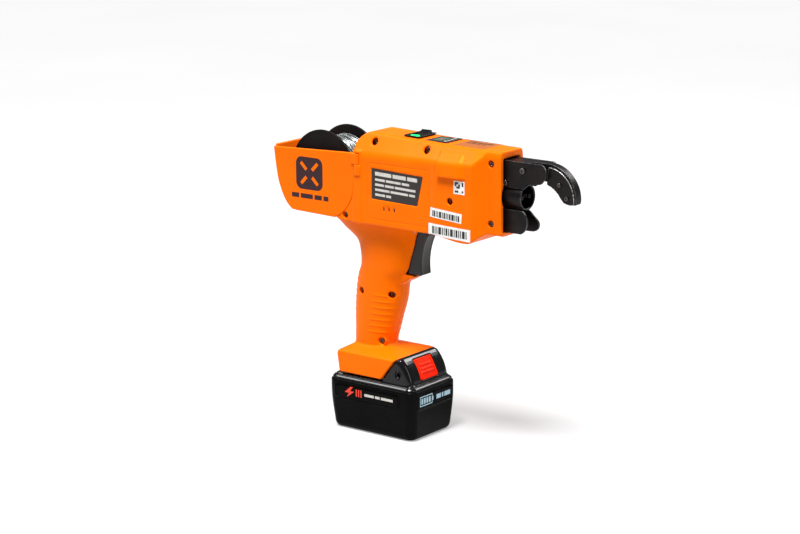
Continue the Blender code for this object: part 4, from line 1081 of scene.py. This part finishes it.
# ---- jaw
def make_jaw():
    def steel(name, bm, node, bevel=0.45, edge=RUBBED):
        piece = shaped(name, bm, bevel, 3, worn=True)
        return dress(piece, "tool", [OXIDE, edge], node)

    hidden = 131.6  # where the steel parts end inside the body
    plate = [(hidden, 261.3), (hidden, 287.2),
             *arc_through((184.6, 286.8), (186.0, 286.4), (187.0, 285.3), 4),
             *arc_through((189.6, 282.6), (190.3, 281.4), (190.4, 280.4), 4),
             (190.3, 274.9), (185.3, 268.7),
             *arc_through((183.9, 268.0), (182.5, 267.6), (181.0, 267.5), 4), (175.0, 267.2),
             *arc_through((172.4, 266.6), (169.8, 265.2), (168.0, 263.7), 4), (165.0, 261.3)]
    for name, low, high in (("right", -11.0, -8.9), ("left", 8.9, 11.0)):
        steel(f"jaw_plate_{name}", prism(plate, low, high), f"guide_plate_{name}")

    outer = arc_through((186.0, 287.1), (210.0, 277.5), (218.6, 252.0), 26)
    tip = arc_through((218.4, 251.5), (214.0, 250.9), (210.0, 251.4), 5)
    inner = smooth_line([(206.6, 252.6), (203.2, 256.2), (200.0, 260.4), (195.0, 264.6),
                         (188.0, 267.9)], 4)
    arm = [(170.3, 270.2), (170.3, 287.0), *outer, *tip, *inner, (187.4, 270.2)]
    steel("curl_body", prism(arm, -4.3, 4.3), "curl_arm", 0.8)
    rim = arc_through((190.0, 284.5), (209.2, 276.2), (217.8, 252.2), 22)
    cheek = [*rim, *arc_through((217.4, 251.8), (214.0, 251.2), (210.0, 251.6), 4), *inner,
             (188.2, 274.0)]
    for name, low, high in (("right", -6.5, -4.55), ("left", 4.55, 6.5)):
        steel(f"curl_cheek_{name}", prism(cheek, low, high), f"curl_plate_{name}", 0.6, WORN)

    bore, outside, collar = 10.6, 12.4, 15.2
    profile = [(bore, 117.0), (outside, 117.0), (outside, 128.0), (collar, 128.0), (collar, 131.0),
               (outside, 131.0), (outside, 162.3), (12.0, 162.8), (11.1, 162.8), (bore, 162.2)]
    twister = shaped("twister_barrel", turned(profile, (0, TWIST_Z), "X", 96), 0.2, 2, worn=True,
                     angle=25)
    dress(twister, "tool", [OXIDE, RUBBED], "twister_tube")

    root = [(140.0, 218.0), (138.4, 219.2), (hidden, 219.4), (hidden, 240.5)]
    front = arc_through((162.6, 240.6), (168.4, 230.0), (161.0, 218.0), 20)
    near = prism([*root, (155.0, 240.5), *front], -9.5, -7.3)
    steel("catch_ear_right", near, "lower_guide_right", 0.55)
    fan = smooth_line([(154.0, 240.0), (159.5, 237.6), (164.4, 233.2), (168.6, 229.6),
                       (170.4, 225.4), (168.9, 220.9), (164.8, 218.5), (160.0, 218.0)], 5)
    steel("catch_ear_left", prism([*root, *fan], 7.3, 9.5), "lower_guide_left", 0.6)
    steel("jaw_core", copied("jaw_block"), "jaw_block", 0.3)


def copied(node):
    """A bmesh of a CAD node with its flat faces whole again."""
    bm = bmesh.new()
    bm.from_mesh(frame["nodes"][node].data)
    bmesh.ops.remove_doubles(bm, verts=bm.verts, dist=0.002 * MM)
    bmesh.ops.dissolve_limit(bm, angle_limit=math.radians(0.5), verts=bm.verts, edges=bm.edges)
    return bm


# ---- trigger and controls
def make_trigger():
    front = arc_through((50.4, 201.0), (43.7, 180.0), (44.0, 162.4), 16)
    view = outline_field([(31.0, 208.8), (49.4, 208.8), *front, (41.0, 160.9), (26.4, 161.0),
                          (26.2, 168.0), (28.0, 185.0), (31.0, 200.0)])

    def trigger(x, y, z):
        crown = 8.0 - 0.35 * ease(np.abs(z - 180.0), 8.0, 30.0)
        shape = both(view(x, z), np.abs(y) - crown, 2.2)
        shape = without(shape, both(finger(x, z) - 0.5, np.abs(y) - 5.6, 1.5), 0.8)
        return without(shape, np.hypot(x - pin[0], z - pin[1]) - 1.8, 0.2)

    finger = outline_field([(x + 0.2, z) for x, z in front] + [(62.0, 160.0), (62.0, 204.0)])
    pin = (38.0, 205.5)
    piece = from_field("trigger_blade", trigger, (24.0, -9.5, 159.0), (53.0, 9.5, 211.0), 0.46)
    dress(piece, "trigger", TRIGGER_BLACK, "trigger")


def make_power_switch():
    def bezel(x, y, z):
        def block(half_x, half_y, low, high, r):
            return box_field(x, y, z, (SWITCH_X - half_x, -half_y, low),
                             (SWITCH_X + half_x, half_y, high), r)

        frame_top = 299.9 - 0.038 * (x - SWITCH_X)
        shape = both(block(9.3, 14.6, 298.6, 300.6, 1.0), z - frame_top, 0.6)
        shape = either(shape, block(7.8, 13.1, 283.0, 299.5, 0.5), 0.2)
        return without(shape, block(6.6, 12.1, 284.6, 310.0, 0.6), 0.5)

    piece = from_field("switch_frame", bezel, (26.0, -16.0, 281.5), (49.0, 16.0, 302.5), 0.5,
                       thin=0.7)
    dress(piece, "tool", BLACK, "switch_bezel")

    pivot_z, tilt = 295.5, math.radians(9)
    c, s = math.cos(tilt), math.sin(tilt)
    view = outline_field([(-11.3, 5.7), *arc_through((-8.0, 4.9), (0.0, 3.0), (8.0, 4.1), 8),
                          (11.3, 5.2), (10.8, -1.0), (4.0, -7.3), (-4.0, -7.3), (-10.8, -1.0)])

    def local(y, z):
        """A place in the rocker's own tilted axes."""
        w = z - pivot_z
        return y * c + w * s, -y * s + w * c

    def rocker(x, y, z):
        v, w = local(y, z)
        shape = both(view(v, w), np.abs(x - SWITCH_X) - 6.2, 0.9)
        window = both(both(slab(v, -10.6, -5.4), np.abs(x - SWITCH_X) - 4.6, 0.8), 2.6 - w, 0.4)
        return without(shape, window, 0.3)

    piece = from_field("rocker_cap", rocker, (30.0, -13.5, 285.0), (45.0, 13.5, 303.5), 0.36,
                       thin=0.8)
    dress(piece, "rocker", GLOSS, "power_rocker")

    def lamp_window(x, y, z):
        v, w = local(y, z)
        top = 5.75 - 0.7 * ease(np.abs(v + 8.0), 0.0, 2.6)
        shape = both(slab(v, -10.4, -5.6), np.abs(x - SWITCH_X) - 4.4, 0.8)
        return both(shape, slab(w, 2.7, top), 0.4)

    piece = from_field("rocker_lamp", lamp_window, (32.0, -11.0, 293.0), (43.0, -3.0, 301.5), 0.25)
    dress(piece, "rocker", GREEN_LAMP)


# ---- labels and prints
def project(field, point, push, lift):
    """Moves point along push onto the surface of field, and lift millimetres past it."""
    x, y, z = (np.array([v], float) for v in point)
    reach, least_slope, longest = 0.1, 0.2, 2.0
    for _ in range(12):
        here = field(x, y, z)
        ahead = field(x + reach * push[0], y + reach * push[1], z + reach * push[2])
        slope = (ahead - here) / reach
        slope = np.where(np.abs(slope) < least_slope, least_slope, slope)
        step = np.clip(-here / slope, -longest, longest)
        x, y, z = x + step * push[0], y + step * push[1], z + step * push[2]
    return Vector((x[0], y[0], z[0])) + Vector(push) * lift


# Walls that prints lie on: the way out of them, and where the search for the surface starts
SIDE = {"push": (0, -1, 0), "place": lambda u, v: (u, -29.0, v)}
TOP = {"push": (0, 0, 1), "place": lambda u, v: (u, v, 296.0)}
FRONT = {"push": (1, 0, 0), "place": lambda u, v: (48.0, u, v)}


def sheet_of(name, field, wall, outlines, lift, thick, material, body, cells=1):
    """Thin printed shapes on a wall. Each is an outline, or four corners cut into cells."""
    bm = bmesh.new()

    def on_wall(u, v):
        return bm.verts.new(project(field, wall["place"](u, v), wall["push"], lift) * MM)

    for outline in outlines:
        if len(outline) != 4:
            bm.faces.new([on_wall(u, v) for u, v in outline])
            continue
        grid = []
        for i in range(cells + 1):
            grid.append([])
            for k in range(cells + 1):
                s, t = i / cells, k / cells
                shares = ((1 - s) * (1 - t), s * (1 - t), s * t, (1 - s) * t)
                u, v = (sum(share * corner[m] for share, corner in zip(shares, outline))
                        for m in (0, 1))
                grid[i].append(on_wall(u, v))
        for i in range(cells):
            for k in range(cells):
                bm.faces.new((grid[i][k], grid[i + 1][k], grid[i + 1][k + 1], grid[i][k + 1]))
    mesh = bpy.data.meshes.new(name)
    bm.to_mesh(mesh)
    bm.free()
    obj = link(name, mesh)
    if mesh.polygons[0].normal.dot(Vector(wall["push"])) < 0:
        mesh.flip_normals()
    thickness = obj.modifiers.new("thickness", "SOLIDIFY")
    thickness.thickness = thick * MM
    thickness.offset = 1.0
    apply_modifiers(obj)
    return dress(obj, body, material)


def bars(left, right, top, height, widths, gap, slant=0.0):
    """A row of dashes that stands for a line of print. widths are shares of the row."""
    scale = (right - left - gap * (len(widths) - 1)) / sum(widths)
    outlines, u = [], left
    for width in widths:
        v = u + width * scale
        outlines.append([(p, z + slant * (p - left)) for p, z in quad(u, v, top - height, top)])
        u = v + gap
    return outlines


def side_floor(depth):
    """The field of a plane that lies this deep in the right side."""
    return lambda x, y, z: -HALF + depth - y


def tool_print(name, outlines, material, lift, cells=1, thick=0.05, field=barrel, wall=SIDE):
    return sheet_of(name, field, wall, outlines, lift, thick, material, "tool", cells)


def make_door_badge():
    """Two crossed bars with a knot in a rounded field, over a row of dashes."""
    def door_print(name, outlines, material, lift):
        sheet_of(name, side_floor(0), SIDE, outlines, lift, 0.04, material, "door")

    door_print("door_badge", [rounded_box(-95.0, -61.0, 236.5, 269.0, 7.0, 8)], INK_DARK, 0.02)
    middle, crossing = (-78.0, 252.7), []
    for angle in (45, -45):
        turn = math.radians(angle)
        c, s = math.cos(turn), math.sin(turn)
        crossing.append([(middle[0] + u * c - v * s, middle[1] + u * s + v * c)
                         for u, v in quad(-15.0, 15.0, -1.7, 1.7)])
    door_print("door_badge_bars", crossing, ORANGE, 0.08)
    door_print("door_badge_knot", [arc(middle, 5.2, 0, 345, 23)], INK_DARK, 0.14)
    dashes = bars(-101.0, -54.0, 232.0, 4.6, (3, 5, 3, 2), 2.2)
    door_print("door_dashes", dashes, INK_DARK, 0.02)


def make_labels():
    """The prints and stickers on the tool. Rows of dashes stand for all lettering."""
    leds = [quad(low + 0.1, high - 0.1, 226.1, 230.1) for low, high in LEDS]
    tool_print("led_windows", leds, INK_DARK, 0.02, thick=0.3, field=side_floor(LED_DEPTH))
    make_door_badge()

    plate = [[(0.3, 237.0), (55.3, 235.8), (62.0, 264.3), (0.5, 266.6)]]
    tool_print("rating_plate", plate, LABEL, 0.02, thick=0.35, field=side_floor(LABEL_DEPTH))
    left, slant = 4.6, -0.03
    rows = bars(left, 55.5, 263.8, 3.7, (5, 4, 3), 1.6, slant)
    lines = ((46.0, (4, 6, 3)), (53.5, (3, 3, 7)), (53.0, (5, 6, 2)), (24.0, (4, 2)))
    for k, (right, widths) in enumerate(lines):
        rows += bars(left, right, 257.3 - 4.9 * k, 2.3, widths, 1.3, slant)
    tool_print("rating_plate_dashes", rows, INK_LIGHT, 0.40, field=side_floor(LABEL_DEPTH))

    tool_print("sticker_square", [quad(99.4, 112.2, 253.2, 265.8)], PAPER, 0.10, 4)
    pitch = 2.0
    blocks = [quad(101.0 + pitch * i, 102.9 + pitch * i, 254.8 + pitch * k, 256.7 + pitch * k)
              for i in range(5) for k in range(5) if (3 * i + 5 * k + i * k) % 4 in (0, 3)]
    tool_print("sticker_square_blocks", blocks, INK_BLACK, 0.18)
    tilted = [(70.8, 228.0), (108.2, 225.3), (109.2, 234.6), (71.8, 237.2)]
    tool_print("sticker_upper", [tilted], PAPER, 0.12, 12)
    code = (1, 2, 1, 1, 3, 1, 2, 1, 1, 2, 3, 1, 1, 2)
    stripes = bars(74.0, 106.0, 234.6, 5.6, code, 0.9, -0.072)
    tool_print("sticker_upper_stripes", stripes, INK_BLACK, 0.20, 2)
    low = [(69.0, 210.6), (118.6, 208.6), (118.8, 220.4), (69.2, 221.8)]
    tool_print("sticker_lower", [low], PAPER, 0.12, 18)
    code = (2, 1, 1, 3, 1, 1, 2, 1, 3, 1, 2, 1, 1, 3, 1)
    stripes = bars(74.0, 114.5, 219.4, 7.0, code, 1.1, -0.03)
    tool_print("sticker_lower_stripes", stripes, INK_BLACK, 0.22, 4)

    def panel_face(x, y, z):
        return z - 297.2

    def panel_print(name, outlines, material, lift):
        tool_print(name, outlines, material, lift, field=panel_face, wall=TOP)

    membrane = [quad(53.1, 77.9, -12.9, 12.9)]
    panel = sheet_of("mode_membrane", panel_face, TOP, membrane, -0.9, 0.9, LABEL, "tool")
    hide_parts("mode_panel")
    panel_print("mode_window", [rounded_box(57.0, 68.0, -8.0, 8.0, 1.0, 4)], PANEL_GREEN, 0.02)
    marks = [quad(71.2, 74.8, -8.6 + 5.2 * k, -6.6 + 5.2 * k) for k in range(4)]
    panel_print("mode_marks", marks, INK_LIGHT, 0.02)
    panel_print("mode_red_mark", [arc((62.5, 0.0), 1.3, 0, 330, 11)], INK_RED, 0.09)
    tool_print("crest_sticker", [quad(87.0, 122.5, -14.5, 14.5)], COPPER, 0.08, 6, wall=TOP)
    # A black strip along the far edge of the crest sticker.
    tool_print("crest_far_dark_strip", [quad(80.0, 123.5, 14.7, 15.7)], INK_BLACK, 0.08, 6, wall=TOP)
    dashes = bars(91.0, 118.0, 9.0, 3.0, (3, 2, 4), 1.5)
    dashes += bars(91.0, 112.0, 3.0, 2.0, (2, 5, 2), 1.2)
    tool_print("crest_sticker_dashes", dashes, LABEL, 0.16, wall=TOP)


def make_battery_prints():
    def cell_print(name, outlines, material, wall):
        return sheet_of(name, case_outside, wall, outlines, 0.08, 0.05, material, "battery")

    bolt = [(-24.0, 45.2), (-31.5, 38.6), (-26.2, 38.6), (-29.0, 33.8), (-19.5, 40.6),
            (-24.6, 40.6), (-21.0, 45.2)]
    beside = bars(-17.5, -10.0, 43.6, 7.4, (1, 1, 1), 1.4)
    cell_print("battery_side_bolt", [bolt, *beside], INK_RED, SIDE)
    cell_print("battery_side_dashes", bars(-6.5, 29.0, 40.8, 2.6, (4, 2, 5), 1.5), INK_LIGHT, SIDE)
    shell = [quad(-24.0, -4.0, 43.6, 44.6), quad(-24.0, -4.0, 34.4, 35.4),
             quad(-24.0, -23.0, 35.4, 43.6), quad(-5.0, -4.0, 35.4, 43.6),
             quad(-4.0, -2.4, 37.4, 41.6)]
    fill = [quad(-21.8 + 4.0 * k, -19.0 + 4.0 * k, 36.6, 42.4) for k in range(4)]
    cell_print("battery_front_symbol", shell + fill, INK_BLUE, FRONT)
    cell_print("battery_front_dashes", bars(2.5, 25.0, 41.6, 4.6, (3, 1, 4), 1.6), INK_BLUE, FRONT)


# ---- what stays from the frame
def paint_frame():
    """Materials for the frame's own nodes that stay, mostly inside the tool."""
    looks = (
        (BLACK, "reel_spindle terminal_block trigger_switch"),
        (OXIDE, "gearbox_case feed_bracket twist_sleeve twist_shaft hook_right hook_left"),
        (STEEL, "door_hinge_pin trigger_pin trigger_spring release_spring feed_motor twist_motor "
                "spindle_bearing cutter_lever"),
        (WIRE, "tie_wire"), (BRASS, "feed_wheel_lower feed_wheel_upper feed_pinion"),
        (BOARD, "control_board protection_board"), (SLEEVE, "cell_1 cell_2 cell_3"))
    for look, nodes in looks:
        for node in nodes.split():
            mesh = frame["nodes"][node].data
            mesh.materials.clear()
            mesh.materials.append(look)


# ---- studio
AMBIENT = 0.18  # the world's light on the object. The camera itself sees the world white.
FLOOR_GLOW = 0.30  # the floor's own light, which only the camera sees
# Each soft panel: name, width, height, power, place and what it faces
PANELS = (
    ("top_softbox", 0.9, 0.9, 6.0, (0.1, 0.1, 1.3), (0.0, 0.0, 0.25)),
    ("edge_softbox", 0.25, 0.9, 2.5, (1.1, -0.15, 0.6), (0.1, 0.0, 0.22)),
    ("left_strip", 0.7, 0.35, 9.0, (-1.0, -0.45, 1.4), (0.0, 0.0, 0.10)),
    ("back_strip", 0.7, 0.35, 9.0, (0.50, 1.2, 1.15), (0.0, 0.0, 0.10)),
)


def make_stage():
    mesh = bpy.data.meshes.new("floor")
    corners = [(u, v, 0) for u, v in quad(-12.0, 12.0, -12.0, 12.0)]
    mesh.from_pydata(corners, [], [(0, 1, 2, 3)])
    floor = link("floor", mesh)
    n = Nodes("floor_white")
    n.feed("Base Color", n.ramp(n.noise(2.0), (0.3, 0.42), (0.7, 0.44)))
    n.set(Roughness=0.55, Specular_IOR_Level=0.2, Emission_Color=(1.0, 1.0, 1.0, 1.0))
    camera_ray = n.add("ShaderNodeLightPath").outputs["Is Camera Ray"]
    n.feed("Emission Strength", n.scale_value(camera_ray, 0.0, FLOOR_GLOW))
    mesh.materials.append(n.material)
    floor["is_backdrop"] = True

    world = bpy.data.worlds.new("studio")
    world.use_nodes = True
    tree = world.node_tree
    background = tree.nodes["Background"]
    background.inputs["Color"].default_value = (1.0, 1.0, 1.0, 1.0)
    strength = tree.nodes.new("ShaderNodeMath")
    strength.operation = "MULTIPLY_ADD"
    strength.inputs[1].default_value = 1.0 - AMBIENT
    strength.inputs[2].default_value = AMBIENT
    camera_ray = tree.nodes.new("ShaderNodeLightPath").outputs["Is Camera Ray"]
    tree.links.new(camera_ray, strength.inputs[0])
    tree.links.new(strength.outputs[0], background.inputs["Strength"])
    bpy.context.scene.world = world
    key = bpy.data.lights.new("key", "SUN")
    key.energy = 4.9
    key.angle = math.radians(20)
    aim_light(key, (0.06, -0.35, 0.935), (0.0, 0.0, 0.0))
    for name, width, height, power, place, target in PANELS:
        panel = bpy.data.lights.new(name, "AREA")
        panel.shape = "RECTANGLE"
        panel.size = width
        panel.size_y = height
        panel.energy = power
        aim_light(panel, place, target)
    bpy.context.scene.view_settings.view_transform = "Standard"


def aim_light(data, place, target):
    light = bpy.data.objects.new(data.name, data)
    light.location = place
    light.rotation_euler = (Vector(target) - Vector(place)).to_track_quat("-Z", "Y").to_euler()
    bpy.context.scene.collection.objects.link(light)


def make_camera():
    """The photograph's view, fitted to the object in it."""
    azimuth, elevation, roll = math.radians(38.0), math.radians(13.2), math.radians(-0.5)
    distance, aim = 2.220, Vector((-0.0151, 0.0333, 0.1548))
    level_share = math.cos(elevation)
    back = Vector((math.sin(azimuth) * level_share, -math.cos(azimuth) * level_share,
                   math.sin(elevation)))
    level = Vector((math.cos(azimuth), math.sin(azimuth), 0.0))
    upright = back.cross(level)
    right = level * math.cos(roll) + upright * math.sin(roll)
    up = back.cross(right)
    data = bpy.data.cameras.new("camera")
    data.lens = 99.9
    data.sensor_width = 36.0
    data.clip_start = 0.05
    camera = bpy.data.objects.new("camera", data)
    turn = Matrix((right, up, back)).transposed().to_4x4()
    camera.matrix_world = Matrix.Translation(aim + back * distance) @ turn
    bpy.context.scene.collection.objects.link(camera)
    bpy.context.scene.camera = camera


def write_sizes():
    sizes = {"cad_box": [list(c) for c in cad_box], "visual_box": [list(c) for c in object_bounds()]}


for make in (make_camera, make_stage, make_housing, make_door, make_battery, make_reel,
             make_screws, make_jaw, make_trigger, make_power_switch, make_labels,
             make_battery_prints, paint_frame):
    make()
write_sizes()
